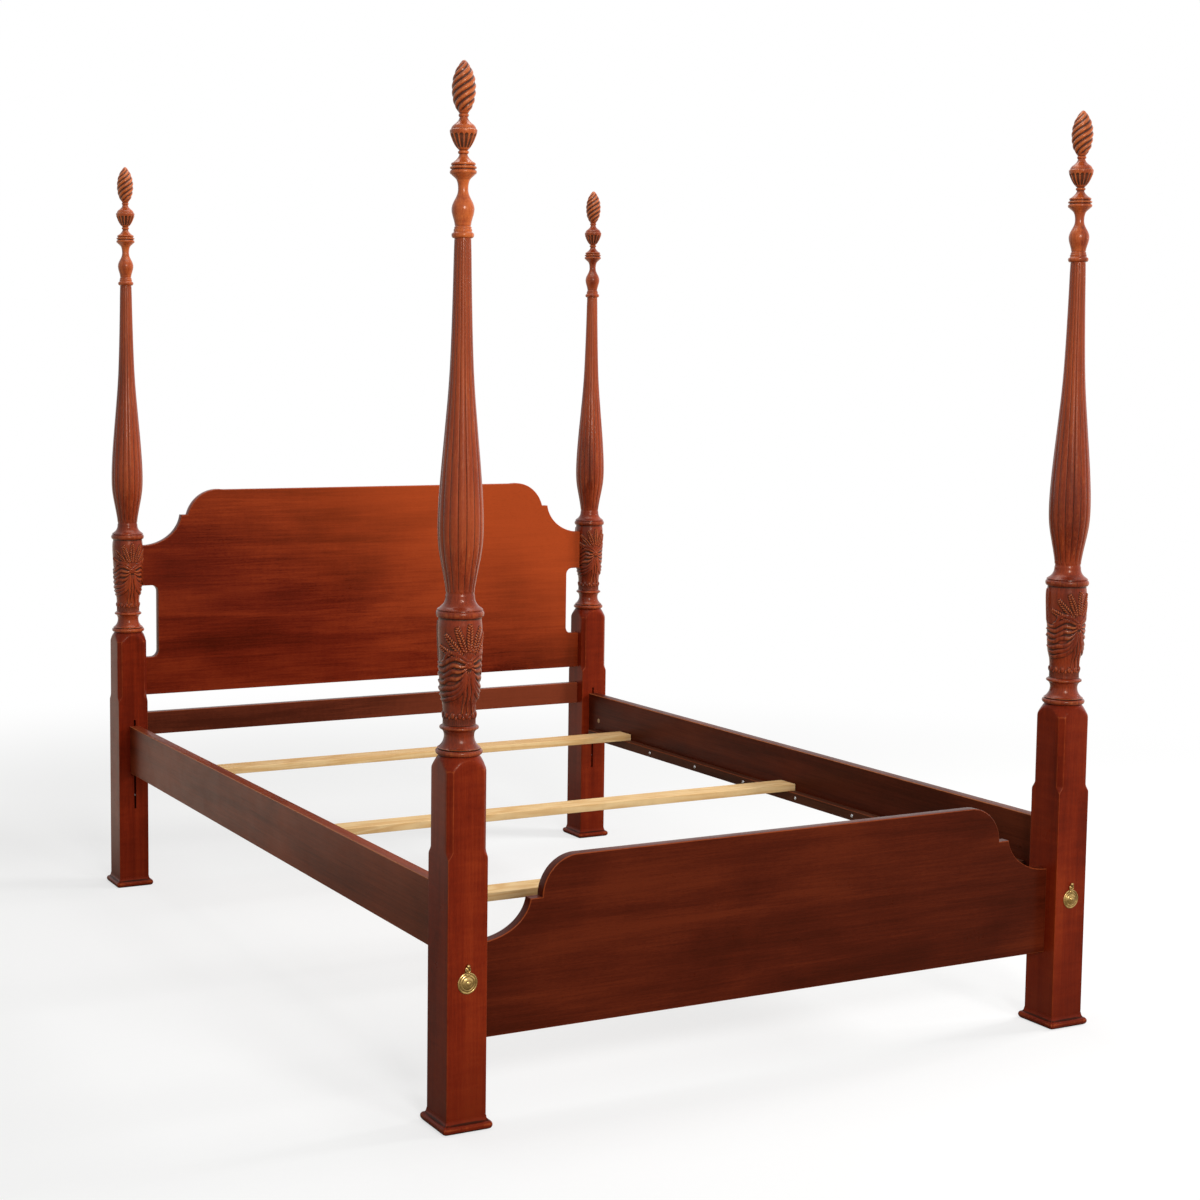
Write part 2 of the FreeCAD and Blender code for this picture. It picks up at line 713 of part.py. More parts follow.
def cleat(side):
    """Ledge along the foot of a side rail that carries the slats."""
    inner = rail_inner_x - cleat_width
    half = rail_length / 2 - cleat_end_gap
    body = block(side * inner, side * rail_inner_x, -half, half, rail_bottom, cleat_top)
    tools = []
    z = rail_bottom + cleat_height / 2
    for y in cleat_screw_places():
        start = Vec(side * inner, y, z)
        radius = cleat_screw_radius + screw_hole_clearance
        tools.append(rod(radius, cleat_width, start, Vec(side, 0, 0)))
    return cut_by(body, tools)


def cleat_screws():
    """Round-headed screws through both cleats."""
    screws = []
    z = rail_bottom + cleat_height / 2
    for side in (-1, 1):
        for y in cleat_screw_places():
            start = Vec(side * (rail_inner_x - cleat_width), y, z)
            radii = (cleat_screw_radius, cleat_screw_length, cleat_screw_head_radius, cleat_screw_head_height)
            screws.append(screw(*radii, start, Vec(side, 0, 0)))
    return screws


def slat(index):
    """Loose slat across the cleats."""
    half = rail_inner_x - slat_end_gap
    y = rail_length * slat_place_shares[index]
    return block(-half, half, y - slat_width / 2, y + slat_width / 2, cleat_top, cleat_top + slat_thickness)


def hook_plate(x_side, y_side):
    """Steel plate in a rail end, with two hooks that drop over the pins in the post."""
    face = rail_length / 2
    middle = rail_centre_x
    half = hook_plate_width / 2
    z0 = hook_middle - hook_plate_height / 2
    plate = block(middle - half, middle + half, face - hook_plate_thickness, face, z0, z0 + hook_plate_height)
    for height in plate_screw_heights():
        radius = plate_screw_radius + screw_hole_clearance
        start = Vec(middle, face + overrun, height)
        plate = plate.cut(rod(radius, 2 * overrun + hook_plate_thickness, start, Vec(0, -1, 0)))
        recess_foot = Vec(middle, face - plate_screw_head_height, height)
        recess_radius = plate_screw_head_radius + screw_hole_clearance
        plate = plate.cut(rod(recess_radius, overrun, recess_foot, Vec(0, 1, 0)))
    pieces = [plate]
    half_hook = hook_thickness / 2
    notch = hook_pin_radius + hook_pin_clearance
    for side in (-1, 1):
        centre = hook_middle + side * hook_pitch / 2
        low = centre - hook_height / 2
        high = centre + hook_height / 2
        hook = block(middle - half_hook, middle + half_hook, face, face + hook_reach, low, high)
        pin_y = face + hook_pin_depth
        mouth = block(middle - half, middle + half, pin_y - notch, pin_y + notch, low - overrun, centre)
        crown = rod(notch, hook_plate_width, Vec(middle - half, pin_y, centre), Vec(1, 0, 0))
        pieces.append(cut_by(hook, [mouth, crown]))
    body = fused(pieces)
    if x_side < 0:
        body = body.mirror(Vec(0, 0, 0), Vec(1, 0, 0))
    if y_side < 0:
        body = body.mirror(Vec(0, 0, 0), Vec(0, 1, 0))
    return body


def hook_plate_screws():
    """Flat-headed screws that hold the hook plates in the rail ends."""
    screws = []
    for x_side, y_side in CORNERS.values():
        for height in plate_screw_heights():
            y = y_side * (rail_length / 2 - plate_screw_head_height)
            start = Vec(x_side * rail_centre_x, y, height)
            inward = Vec(0, -y_side, 0)
            sizes = (plate_screw_radius, plate_screw_length, plate_screw_head_radius, plate_screw_head_height)
            screws.append(screw(*sizes, start, inward))
    return screws


def rail_plugs():
    """Wooden plugs in the rails' inner faces, one near each end."""
    plugs = []
    for x_side, y_side in CORNERS.values():
        y = y_side * (rail_length / 2 - rail_plug_end_distance)
        start = Vec(x_side * rail_inner_x, y, rail_bottom + rail_plug_height)
        plugs.append(rod(rail_plug_radius, rail_plug_depth, start, Vec(x_side, 0, 0)))
    return plugs


def hook_pins():
    """Steel pins across the post slots, four in each post."""
    pins = []
    for x_side, y_side in CORNERS.values():
        for height in hook_heights():
            x = x_side * (post_x - post_half)
            y = y_side * (post_y - post_half + hook_pin_depth)
            pins.append(rod(hook_pin_radius, hook_pin_length, Vec(x, y, height), Vec(x_side, 0, 0)))
    return pins


def dowels(radius, length, height):
    """A dowel on the axis of each post, half above and half below a height."""
    pegs = []
    for x_side, y_side in CORNERS.values():
        foot = Vec(x_side * post_x, y_side * post_y, height - length / 2)
        pegs.append(rod(radius, length, foot, Vec(0, 0, 1)))
    return pegs


def plinth_screws():
    """The screw that holds each plinth, with its head sunk below the floor face."""
    screws = []
    sizes = (plinth_screw_radius, plinth_screw_length, plinth_screw_head_radius, plinth_screw_head_height)
    for x_side, y_side in CORNERS.values():
        start = Vec(x_side * post_x, y_side * post_y, plinth_recess_depth)
        screws.append(screw(*sizes, start, Vec(0, 0, 1)))
    return screws


def cover_pin_depth():
    """How deep a cover's pin goes into the post."""
    return cover_pin_length - cover_tab_thickness - 2 * seat_gap


def bolt_cover(side):
    """Brass cover: stepped round plate, neck and eye, hanging on its pin."""
    x = side * post_x
    back = cover_face_y - seat_gap
    disc_z = cover_pivot_height - cover_drop
    steps = [(cover_radius, cover_edge), (cover_step_radius, cover_step_height)]
    steps += [(cover_boss_radius, cover_boss_height)]
    centre = Vec(x, back, disc_z)
    outward = Vec(0, -1, 0)
    pieces = [rod(radius, height, centre, outward) for radius, height in steps]
    foot = Vec(x, back - cover_step_height, disc_z)
    rise = cover_dome_height - cover_step_height
    pieces.append(Part.makeCone(cover_dome_radius, cover_boss_radius, rise, foot, outward))
    half = cover_neck_width / 2
    tab = back - cover_tab_thickness
    pieces.append(block(x - half, x + half, tab, back, disc_z + cover_step_radius, cover_pivot_height))
    pivot = Vec(x, back, cover_pivot_height)
    pieces.append(rod(cover_eye_radius, cover_tab_thickness, pivot, outward))
    hole = rod(cover_pin_radius + cover_pin_clearance, cover_pin_length, pivot, outward)
    return fused(pieces).cut(hole)


def cover_pin(side):
    """Round-headed brass pin that a cover swings on."""
    back = cover_face_y - 2 * seat_gap - cover_tab_thickness
    start = Vec(side * post_x, back, cover_pivot_height)
    inward = Vec(0, 1, 0)
    shank = rod(cover_pin_radius, cover_pin_length, start, inward)
    head_start = Vec(side * post_x, back - cover_pin_head_height, cover_pivot_height)
    neck = cover_pin_head_radius
    crown = neck - cover_pin_head_height / 2
    head = Part.makeCone(crown, neck, cover_pin_head_height, head_start, inward)
    return fused([shank, head])


for corner, (corner_x, corner_y) in CORNERS.items():
    export(corner + "_post_block", [post_block(corner_x, corner_y)])
    export(corner + "_post_shaft", [post_shaft(corner_x, corner_y)])
    export(corner + "_post_finial", [post_finial(corner_x, corner_y)])
    export(corner + "_foot_plinth", [foot_plinth(corner_x, corner_y)])
    export(corner + "_hook_plate", [hook_plate(corner_x, corner_y)])

export("headboard", [headboard()])
export("head_stretcher", [head_stretcher()])
export("footboard", [footboard()])
for side_name, side_sign in SIDES.items():
    export(side_name + "_side_rail", [side_rail(side_sign)])
    export(side_name + "_cleat", [cleat(side_sign)])
    export(side_name + "_bolt_cover", [bolt_cover(side_sign)])
    export(side_name + "_cover_pin", [cover_pin(side_sign)])
for place, slat_name in enumerate(("head_slat", "middle_slat", "foot_slat")):
    export(slat_name, [slat(place)])
export("cleat_screws", cleat_screws())
export("hook_plate_screws", hook_plate_screws())
export("rail_plugs", rail_plugs())
export("hook_pins", hook_pins())
export("shaft_dowels", dowels(shaft_dowel_radius, shaft_dowel_length, shaft_foot))
export("finial_dowels", dowels(finial_dowel_radius, finial_dowel_length, finial_foot))
export("plinth_screws", plinth_screws())
print("height", round(tip_top, 1), "post centres", round(2 * post_x, 1), round(2 * post_y, 1))
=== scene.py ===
"""Poster bed: carved and turned posts, scrolled boards, hook-on rails, pine slats and brass covers."""
import logging
import math
from dataclasses import dataclass, field
from enum import Enum
from typing import Any, Sequence

import bpy
import numpy as np
from mathutils import Euler, Matrix, Vector


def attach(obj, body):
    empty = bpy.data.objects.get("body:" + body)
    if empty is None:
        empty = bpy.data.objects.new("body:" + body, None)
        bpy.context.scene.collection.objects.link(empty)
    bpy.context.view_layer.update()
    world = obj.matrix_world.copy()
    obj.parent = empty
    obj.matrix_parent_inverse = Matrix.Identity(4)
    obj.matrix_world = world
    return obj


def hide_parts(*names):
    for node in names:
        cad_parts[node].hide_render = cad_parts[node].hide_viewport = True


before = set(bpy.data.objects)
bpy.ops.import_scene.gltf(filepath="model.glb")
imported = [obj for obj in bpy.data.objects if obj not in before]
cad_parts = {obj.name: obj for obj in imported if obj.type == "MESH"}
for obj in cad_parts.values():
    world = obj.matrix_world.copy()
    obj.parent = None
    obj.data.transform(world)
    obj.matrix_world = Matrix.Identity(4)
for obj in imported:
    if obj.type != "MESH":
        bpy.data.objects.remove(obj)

LOG = logging.getLogger("poster_bed")
MM = 0.001
Grid = np.ndarray
Colour = tuple[float, float, float]


class Corner(Enum):
    """The four posts, with the sign of their place along X and Y."""

    FOOT_LEFT = (-1, -1)
    FOOT_RIGHT = (1, -1)
    HEAD_LEFT = (-1, 1)
    HEAD_RIGHT = (1, 1)

    @property
    def label(self) -> str:
        """The start of the names of this corner's nodes."""
        return self.name.lower()


class Grain(Enum):
    """The direction that a piece's wood grain runs in, as the turn that brings it to Z."""

    ALONG_X = (0.0, math.pi / 2, 0.0)
    ALONG_Y = (math.pi / 2, 0.0, 0.0)
    ALONG_Z = (0.0, 0.0, 0.0)


class Term:
    """A number that varies over a surface: one output socket, with plus, minus and times."""

    def __init__(self, shader: "Shader", socket: bpy.types.NodeSocket | None) -> None:
        """Keep the socket and the shader that it belongs to."""
        self.shader = shader
        self.socket = socket

    def maths(self, operation: str, *values: Any, clamp: bool = False) -> "Term":
        """One Math node of the operation, on numbers or terms in order, held between 0 and 1 if clamped."""
        settings = {"operation": operation, "use_clamp": clamp}
        return self.shader.node("ShaderNodeMath", settings, dict(enumerate(values)))

    def __add__(self, other: Any) -> "Term":
        """This term plus another."""
        return self.maths("ADD", self, other)

    __radd__ = __add__

    def __sub__(self, other: Any) -> "Term":
        """This term less another."""
        return self.maths("SUBTRACT", self, other)

    def __rsub__(self, other: Any) -> "Term":
        """A number less this term."""
        return self.maths("SUBTRACT", other, self)

    def __mul__(self, other: Any) -> "Term":
        """This term times another."""
        return self.maths("MULTIPLY", self, other)

    __rmul__ = __mul__

    def clamped(self) -> "Term":
        """This term held between 0 and 1."""
        return self.maths("ADD", self, 0.0, clamp=True)

    def step(self, low: float, high: float) -> "Term":
        """A soft step of this term: 0 up to the low value, and 1 from the high one."""
        inputs = {"Value": self, "From Min": low, "From Max": high}
        return self.shader.node("ShaderNodeMapRange", {"interpolation_type": "SMOOTHSTEP"}, inputs)


class Shader:
    """The node tree of one material, or of the world."""

    def __init__(self, owner: bpy.types.Material | bpy.types.World) -> None:
        """Start an empty tree on its owner.

        Args:
            owner: the material or world that the tree belongs to.
        """
        self.owner = owner
        self.owner.use_nodes = True
        self.tree = self.owner.node_tree
        self.tree.nodes.clear()

    def node(self, kind: str, settings: dict[str, Any], inputs: dict[Any, Any], output: Any = 0) -> Term:
        """Add any node: its type, then its settings, then the values or links of its sockets.

        Args:
            kind: the node's type.
            settings: its properties; "stops" gives a ramp's places and colours.
            inputs: values, terms or colours by socket name or number.
            output: the output socket that is wanted, by name or number.

        Returns:
            The wanted output, which a closing node doesn't have.
        """
        made = self.tree.nodes.new(kind)
        for key, value in settings.items():
            if key == "stops":
                ramp = made.color_ramp
                while len(ramp.elements) < len(value):
                    ramp.elements.new(0.5)
                for element, (place, colour) in zip(ramp.elements, value):
                    element.position = place
                    element.color = (*colour, 1.0)
            else:
                setattr(made, key, value)
        for key, value in inputs.items():
            socket = made.inputs[key]
            if isinstance(value, Term):
                self.tree.links.new(value.socket, socket)
            elif isinstance(value, tuple) and len(value) == 3 and socket.type == "RGBA":
                socket.default_value = (*value, 1.0)
            else:
                socket.default_value = value
        return Term(self, made.outputs[output] if made.outputs else None)

    def place(self) -> Term:
        """Object coordinates, in metres."""
        return self.node("ShaderNodeTexCoord", {}, {}, "Object")

    def mapped(self, grain: Grain, scale: tuple[float, float, float], shift: float = 0.0) -> Term:
        """Object coordinates turned so that the grain runs along Z, then scaled.

        Args:
            grain: the direction of the grain.
            scale: features per metre across, across and along the grain.
            shift: how far the pattern is moved, to tell pieces apart.

        Returns:
            The coordinates.
        """
        turned = self.node(
            "ShaderNodeMapping", {"vector_type": "POINT"},
            {"Vector": self.place(), "Rotation": Euler(grain.value),
             "Location": (shift, shift * 1.7, shift * 0.6)},
        )
        return self.node("ShaderNodeMapping", {"vector_type": "POINT"}, {"Vector": turned, "Scale": scale})

    def noise(self, where: Term, detail: float, rough: float = 0.5, warp: float = 0.0) -> Term:
        """Fractal noise of 0 to 1 in the space given, bent by its warp."""
        inputs = {"Vector": where, "Scale": 1.0, "Detail": detail, "Roughness": rough, "Distortion": warp}
        return self.node("ShaderNodeTexNoise", {"noise_dimensions": "3D"}, inputs, 0)

    def blend(self, amount: Any, low: Any, high: Any) -> Term:
        """Mix two colours: 0 gives the low one, and 1 the high one."""
        settings = {"data_type": "RGBA", "blend_type": "MIX"}
        return self.node("ShaderNodeMix", settings, {0: amount, 6: low, 7: high}, 2)

    def ramp(self, amount: Term, stops: Sequence[tuple[float, Colour]]) -> Term:
        """A colour looked up along a row of stops."""
        return self.node("ShaderNodeValToRGB", {"stops": tuple(stops)}, {"Fac": amount})

    def rays(self) -> tuple[Term, Term, Term]:
        """Whether a ray comes from the camera, from a glossy surface, or through a clear one."""
        names = ("Is Camera Ray", "Is Glossy Ray", "Is Transmission Ray")
        return tuple(self.node("ShaderNodeLightPath", {}, {}, name) for name in names)

    def relief(self) -> Term:
        """How far a point stands proud or takes painted highlight (above 0), or lies in a hollow or takes
        painted shade (below 0).
        """
        return self.node("ShaderNodeAttribute", {"attribute_name": "relief"}, {}, "Fac")

    def bump(self, height: Term, strength: float, reach: float) -> Term:
        """A bumped normal from a height, with its strength and its depth in metres."""
        inputs = {"Height": height, "Strength": strength, "Distance": reach}
        return self.node("ShaderNodeBump", {}, inputs, "Normal")

    def finish(self, inputs: dict[str, Any]) -> bpy.types.Material:
        """Close the tree with one surface shader.

        Args:
            inputs: the surface shader's values and links by socket name.

        Returns:
            The material.
        """
        surface = self.node("ShaderNodeBsdfPrincipled", {}, inputs)
        self.node("ShaderNodeOutputMaterial", {}, {"Surface": surface})
        return self.owner


@dataclass(frozen=True)
class LacqueredWood:
    """Stained mahogany under lacquer; hollows darken with glaze and painted shade, and arrises lighten with
    rubbing and painted highlight.

    Deep, middle and pale are the tones of the figure. The drift is a colour that comes in along a slope
    across the piece, per metre of X, Y and Z, from its start at the origin; on the shaft, headboard and
    stretcher it is painted light. The shares of the figure say how much each scale of pattern counts.
    """

    name: str
    deep: Colour
    middle: Colour
    pale: Colour
    grain: Grain
    # The glaze colour is real glaze in pores and hollows plus painted shade; the rub colour is real rubbing
    # on arrises plus painted highlight.
    glaze: Colour = (0.014, 0.004, 0.002)
    rub: Colour = (0.42, 0.085, 0.022)
    glaze_strength: float = 0.88
    rub_strength: float = 0.5
    rough: float = 0.31
    coat: float = 0.04
    coat_rough: float = 0.14
    gloss: float = 0.13
    sheen: Colour = (1.0, 0.6, 0.38)
    shift: float = 0.0
    width_scale: float = 1.0
    band_share: float = 0.55
    streak_share: float = 0.38
    fleck_share: float = 0.4
    cloud_share: float = 0.5
    ripple_share: float = 0.0
    drift: Colour = (0.42, 0.09, 0.02)
    drift_slope: tuple[float, float, float] = (0.0, 0.0, 0.0)
    drift_start: float = 0.0
    drift_most: float = 0.85

    def pitch(self, across: float, along: float) -> tuple[float, float, float]:
        """Features per metre across and along the grain, at this piece's width scale."""
        return across * self.width_scale, across * self.width_scale, along

    def figure(self, s: Shader) -> tuple[Term, Term, Term]:
        """The figure of the wood: wide soft bands, fine streaks, short pores, clouds and ripples,
        all noise that is stretched along the grain.

        Args:
            s: the material's shader.

        Returns:
            The tone about 0.5, the streaks, and the pores from 0 to 1.
        """
        bands = s.noise(s.mapped(self.grain, self.pitch(across=17.0, along=1.1), self.shift),
                        detail=3.0, rough=0.5, warp=0.8)
        streaks = s.noise(s.mapped(self.grain, self.pitch(across=230.0, along=7.0), self.shift),
                          detail=5.0, rough=0.66, warp=0.25)
        flecks = s.noise(s.mapped(self.grain, (900.0, 900.0, 95.0), self.shift), detail=3.0, rough=0.62)
        clouds = s.noise(s.mapped(self.grain, (5.0, 5.0, 2.6), self.shift + 5.0),
                         detail=2.0, rough=0.5, warp=0.5)
        ripples = s.noise(s.mapped(self.grain, (14.0, 14.0, 60.0), self.shift),
                          detail=2.0, rough=0.5, warp=0.6)
        tone = (bands - 0.5) * self.band_share + (streaks - 0.5) * self.streak_share
        tone = tone + (flecks - 0.5) * self.fleck_share
        tone = tone + (clouds - 0.5) * self.cloud_share
        tone = tone + (ripples - 0.5) * self.ripple_share + 0.5
        return tone, streaks, flecks.step(0.55, 0.7)

    def drifted(self, s: Shader, tone: Term, colour: Term) -> Term:
        """Bring in the drift colour where the slope over the piece, plus some of the figure, is high.

        Args:
            s: the material's shader.
            tone: the figure's tone.
            colour: the colour so far.

        Returns:
            The colour with its drift.
        """
        along = [s.node("ShaderNodeSeparateXYZ", {}, {"Vector": s.place()}, axis) for axis in "XYZ"]
        slope = self.drift_slope
        reach = along[0] * slope[0] + along[1] * slope[1] + along[2] * slope[2]
        reach = reach + self.drift_start + (tone - 0.5) * 0.9
        return s.blend(reach.clamped() * self.drift_most, colour, self.drift)

    def build(self) -> bpy.types.Material:
        """The figure picks the colour; pores darken and dent it; the relief attribute brings dark glaze and
        painted shade in hollows, and lighter edges from rubbing and painted highlight; hands have dulled it
        unevenly.

        Returns:
            The material.
        """
        s = Shader(bpy.data.materials.new(self.name))
        tone, streaks, pores = self.figure(s)
        colour = s.ramp(tone, ((0.34, self.deep), (0.5, self.middle), (0.66, self.pale)))
        if any(self.drift_slope):
            colour = self.drifted(s, tone, colour)
        colour = s.blend(pores * 0.3, colour, self.glaze)
        relief = s.relief()
        worn = s.noise(s.mapped(Grain.ALONG_Z, (75.0, 75.0, 75.0), self.shift), detail=3.0, rough=0.6)
        # Painted shade with the glaze in the hollows, then painted highlight with the rubbing on the arrises.
        hollow = (relief * -1.0 + (worn - 0.5) * 0.5).step(0.05, 0.8)
        colour = s.blend(hollow * self.glaze_strength, colour, self.glaze)
        edge = (relief + (streaks - 0.5) * 0.9 + (worn - 0.5) * 0.9).step(0.3, 1.0)
        colour = s.blend(edge * self.rub_strength, colour, self.rub)
        handled = s.noise(s.mapped(Grain.ALONG_Z, (19.0, 19.0, 19.0), self.shift + 3.0),
                          detail=4.0, rough=0.6)
        rough = (handled - 0.5) * 0.2 + self.rough + hollow * 0.16 + pores * 0.1
        height = streaks * 0.4 - pores * 0.7
        return s.finish({
            "Base Color": colour, "Roughness": rough.clamped(), "Normal": s.bump(height, 0.2, 0.0003),
            "Specular IOR Level": self.gloss, "Specular Tint": self.sheen,
            "Coat Weight": self.coat, "Coat Roughness": self.coat_rough,
        })


@dataclass(frozen=True)
class BareWood:
    """Planed, unfinished wood with growth rings, darker late wood and a few small knots."""

    name: str
    early: Colour
    late: Colour
    knot: Colour
    grain: Grain
    rough: float = 0.62
    shift: float = 0.0

    def build(self) -> bpy.types.Material:
        """Growth rings are a stretched wave bent by noise; knots are the near cells of a sparse,
        stretched cell pattern, darkest at their middle.

        Returns:
            The material.
        """
        s = Shader(bpy.data.materials.new(self.name))
        warp = s.noise(s.mapped(self.grain, (14.0, 14.0, 1.1), self.shift), detail=3.0, rough=0.5, warp=0.6)
        rings = warp.maths("SINE", warp * 78.0) * 0.5 + 0.5
        fine = s.noise(s.mapped(self.grain, (420.0, 420.0, 11.0), self.shift), detail=4.0, rough=0.6)
        cloud = s.noise(s.mapped(self.grain, (9.0, 9.0, 2.4), self.shift), detail=3.0, rough=0.5)
        tone = (rings * 0.5 + fine * 0.4 + cloud * 0.35 - 0.12).clamped()
        colour = s.blend(tone, self.early, self.late)
        inputs = {"Vector": s.mapped(self.grain, (9.0, 9.0, 2.3), self.shift), "Scale": 1.0}
        cells = s.node("ShaderNodeTexVoronoi", {"feature": "F1"}, inputs, "Distance")
        knots = 1.0 - (cells + (fine - 0.5) * 0.05).step(0.03, 0.085)
        colour = s.blend(knots * 0.7, colour, self.knot)
        handled = s.noise(s.mapped(Grain.ALONG_Z, (24.0, 24.0, 24.0)), detail=4.0, rough=0.6)
        colour = s.blend((handled - 0.45).clamped() * 0.55, colour, self.knot)
        # Edges lighten to the early wood's colour: wear and painted highlight.
        edge = (s.relief() + (fine - 0.5) * 0.8).step(0.2, 1.0)
        colour = s.blend(edge * 0.35, colour, self.early)
        height = fine * 0.7 + rings * 0.3
        return s.finish({
            "Base Color": colour, "Roughness": ((handled - 0.5) * 0.2 + self.rough).clamped(),
            "Normal": s.bump(height, 0.3, 0.0004), "Specular IOR Level": 0.3,
        })


@dataclass(frozen=True)
class Metal:
    """Brushed or cast metal with tarnish in its hollows."""

    name: str
    bright: Colour
    dull: Colour
    tarnish: Colour
    rough: float = 0.3

    def build(self) -> bpy.types.Material:
        """Cloudy noise mixes bright and dull metal, and the relief attribute darkens the hollows.

        Returns:
            The material.
        """
        s = Shader(bpy.data.materials.new(self.name))
        clouds = s.noise(s.mapped(Grain.ALONG_Z, (90.0, 90.0, 90.0)), detail=4.0, rough=0.6, warp=0.4)
        specks = s.noise(s.mapped(Grain.ALONG_Z, (800.0, 800.0, 800.0)), detail=3.0, rough=0.6)
        colour = s.blend(clouds.step(0.35, 0.65), self.bright, self.dull)
        hollow = (s.relief() * -1.0 + (clouds - 0.5) * 0.5).step(0.0, 0.8)
        colour = s.blend(hollow * 0.8, colour, self.tarnish)
        spots = specks.step(0.62, 0.74)
        colour = s.blend(spots * 0.5, colour, self.tarnish)
        rough = clouds * 0.22 + specks * 0.12 + hollow * 0.2 + (self.rough - 0.17)
        return s.finish({
            "Base Color": colour, "Metallic": 1.0, "Roughness": rough.clamped(),
            "Normal": s.bump(specks * 0.6 + clouds * 0.4, 0.12, 0.0003),
        })


POST = LacqueredWood(
    "post_mahogany", deep=(0.115, 0.009, 0.003), middle=(0.185, 0.016, 0.0045), pale=(0.26, 0.029, 0.007),
    grain=Grain.ALONG_Z, gloss=0.11, ripple_share=0.2, streak_share=0.3, fleck_share=0.35,
    drift=(0.085, 0.008, 0.003), drift_slope=(0.0, 0.0, -2.4), drift_start=0.42,
)
# The shaft's drift is painted light: the shaft gets lighter towards the top.
SHAFT = LacqueredWood(
    "shaft_mahogany", deep=(0.115, 0.011, 0.003), middle=(0.235, 0.027, 0.0065), pale=(0.36, 0.055, 0.013),
    grain=Grain.ALONG_Z, rub=(0.55, 0.15, 0.04), rough=0.27, coat=0.16, gloss=0.24,
    sheen=(1.0, 0.7, 0.5), shift=0.4,
    drift=(0.37, 0.07, 0.018), drift_slope=(0.0, 0.0, 0.9), drift_start=-0.95,
)
FINIAL = LacqueredWood(
    "finial_mahogany", deep=(0.18, 0.021, 0.005), middle=(0.39, 0.064, 0.012), pale=(0.62, 0.14, 0.03),
    grain=Grain.ALONG_Z, rub=(0.62, 0.18, 0.045), rough=0.28, coat=0.2, gloss=0.36,
    sheen=(1.0, 0.75, 0.55), shift=0.9, ripple_share=0.2,
)
# The headboard's drift is painted light: lighter towards the right and the top, where the light falls from
# the upper right.
HEADBOARD = LacqueredWood(
    "headboard_mahogany", deep=(0.07, 0.006, 0.002), middle=(0.135, 0.012, 0.004), pale=(0.22, 0.026, 0.007),
    grain=Grain.ALONG_X, width_scale=0.8, shift=1.3, ripple_share=0.06, gloss=0.08,
    drift=(0.43, 0.064, 0.014), drift_slope=(0.9, 0.0, 1.9), drift_start=-1.38,
)
FOOTBOARD = LacqueredWood(
    "footboard_mahogany", deep=(0.048, 0.006, 0.002), middle=(0.08, 0.01, 0.0035),
    pale=(0.125, 0.018, 0.0055),
    grain=Grain.ALONG_X, width_scale=0.9, shift=2.1, ripple_share=0.05, gloss=0.08,
)
# The stretcher's drift is painted light: lighter towards the right, as on the headboard.
STRETCHER = LacqueredWood(
    "stretcher_mahogany", deep=(0.062, 0.011, 0.005), middle=(0.105, 0.02, 0.009), pale=(0.155, 0.032, 0.014),
    grain=Grain.ALONG_X, width_scale=0.9, shift=2.7, ripple_share=0.1, gloss=0.08,
    drift=(0.24, 0.048, 0.02), drift_slope=(1.1, 0.0, 0.0), drift_start=0.25,
)
# The strong rub on the rails' arrises is rubbing plus the painted highlight of a light line along their top
# edges.
LEFT_RAIL = LacqueredWood(
    "left_rail_mahogany", deep=(0.1, 0.016, 0.006), middle=(0.18, 0.032, 0.011), pale=(0.26, 0.05, 0.018),
    grain=Grain.ALONG_Y, rub=(0.52, 0.17, 0.06), rub_strength=0.8, rough=0.34, coat=0.0, gloss=0.13,
    shift=3.2,
)
# A darker copy of the left rail's finish: painted shade, for the right rail that stands in shade inside the
# bed.
SHADED_RIGHT_RAIL = LacqueredWood(
    "right_rail_mahogany", deep=(0.05, 0.008, 0.003), middle=(0.09, 0.015, 0.006), pale=(0.14, 0.026, 0.01),
    grain=Grain.ALONG_Y, rub=(0.52, 0.17, 0.06), rub_strength=0.8, rough=0.36, coat=0.0, gloss=0.08,
    shift=3.7,
)
CLEAT = LacqueredWood(
    "cleat_hardwood", deep=(0.03, 0.008, 0.004), middle=(0.055, 0.016, 0.008), pale=(0.09, 0.027, 0.013),
    grain=Grain.ALONG_Y, rough=0.55, coat=0.0, shift=4.1,
)
PINE = BareWood(
    "slat_pine", early=(0.86, 0.63, 0.33), late=(0.64, 0.36, 0.13), knot=(0.36, 0.16, 0.055),
    grain=Grain.ALONG_X,
)
BIRCH = BareWood(
    "birch_dowel", early=(0.62, 0.42, 0.24), late=(0.45, 0.26, 0.13), knot=(0.28, 0.14, 0.07),
    grain=Grain.ALONG_Z,
)
BRASS = Metal(
    "cover_brass", bright=(0.58, 0.39, 0.15), dull=(0.34, 0.215, 0.075), tarnish=(0.04, 0.022, 0.008),
    rough=0.27,
)
STEEL = Metal(
    "zinc_steel", bright=(0.62, 0.63, 0.65), dull=(0.45, 0.46, 0.48), tarnish=(0.16, 0.15, 0.14),
    rough=0.42,
)


class Finishes:
    """Builds each finish once and hands it out."""

    def __init__(self) -> None:
        """Start with nothing built."""
        self.made: dict[str, bpy.types.Material] = {}

    def of(self, finish: LacqueredWood | BareWood | Metal) -> bpy.types.Material:
        """The material of a finish, built when it is first asked for.

        Args:
            finish: the finish.

        Returns:
            Its material.
        """
        if finish.name not in self.made:
            self.made[finish.name] = finish.build()
        return self.made[finish.name]


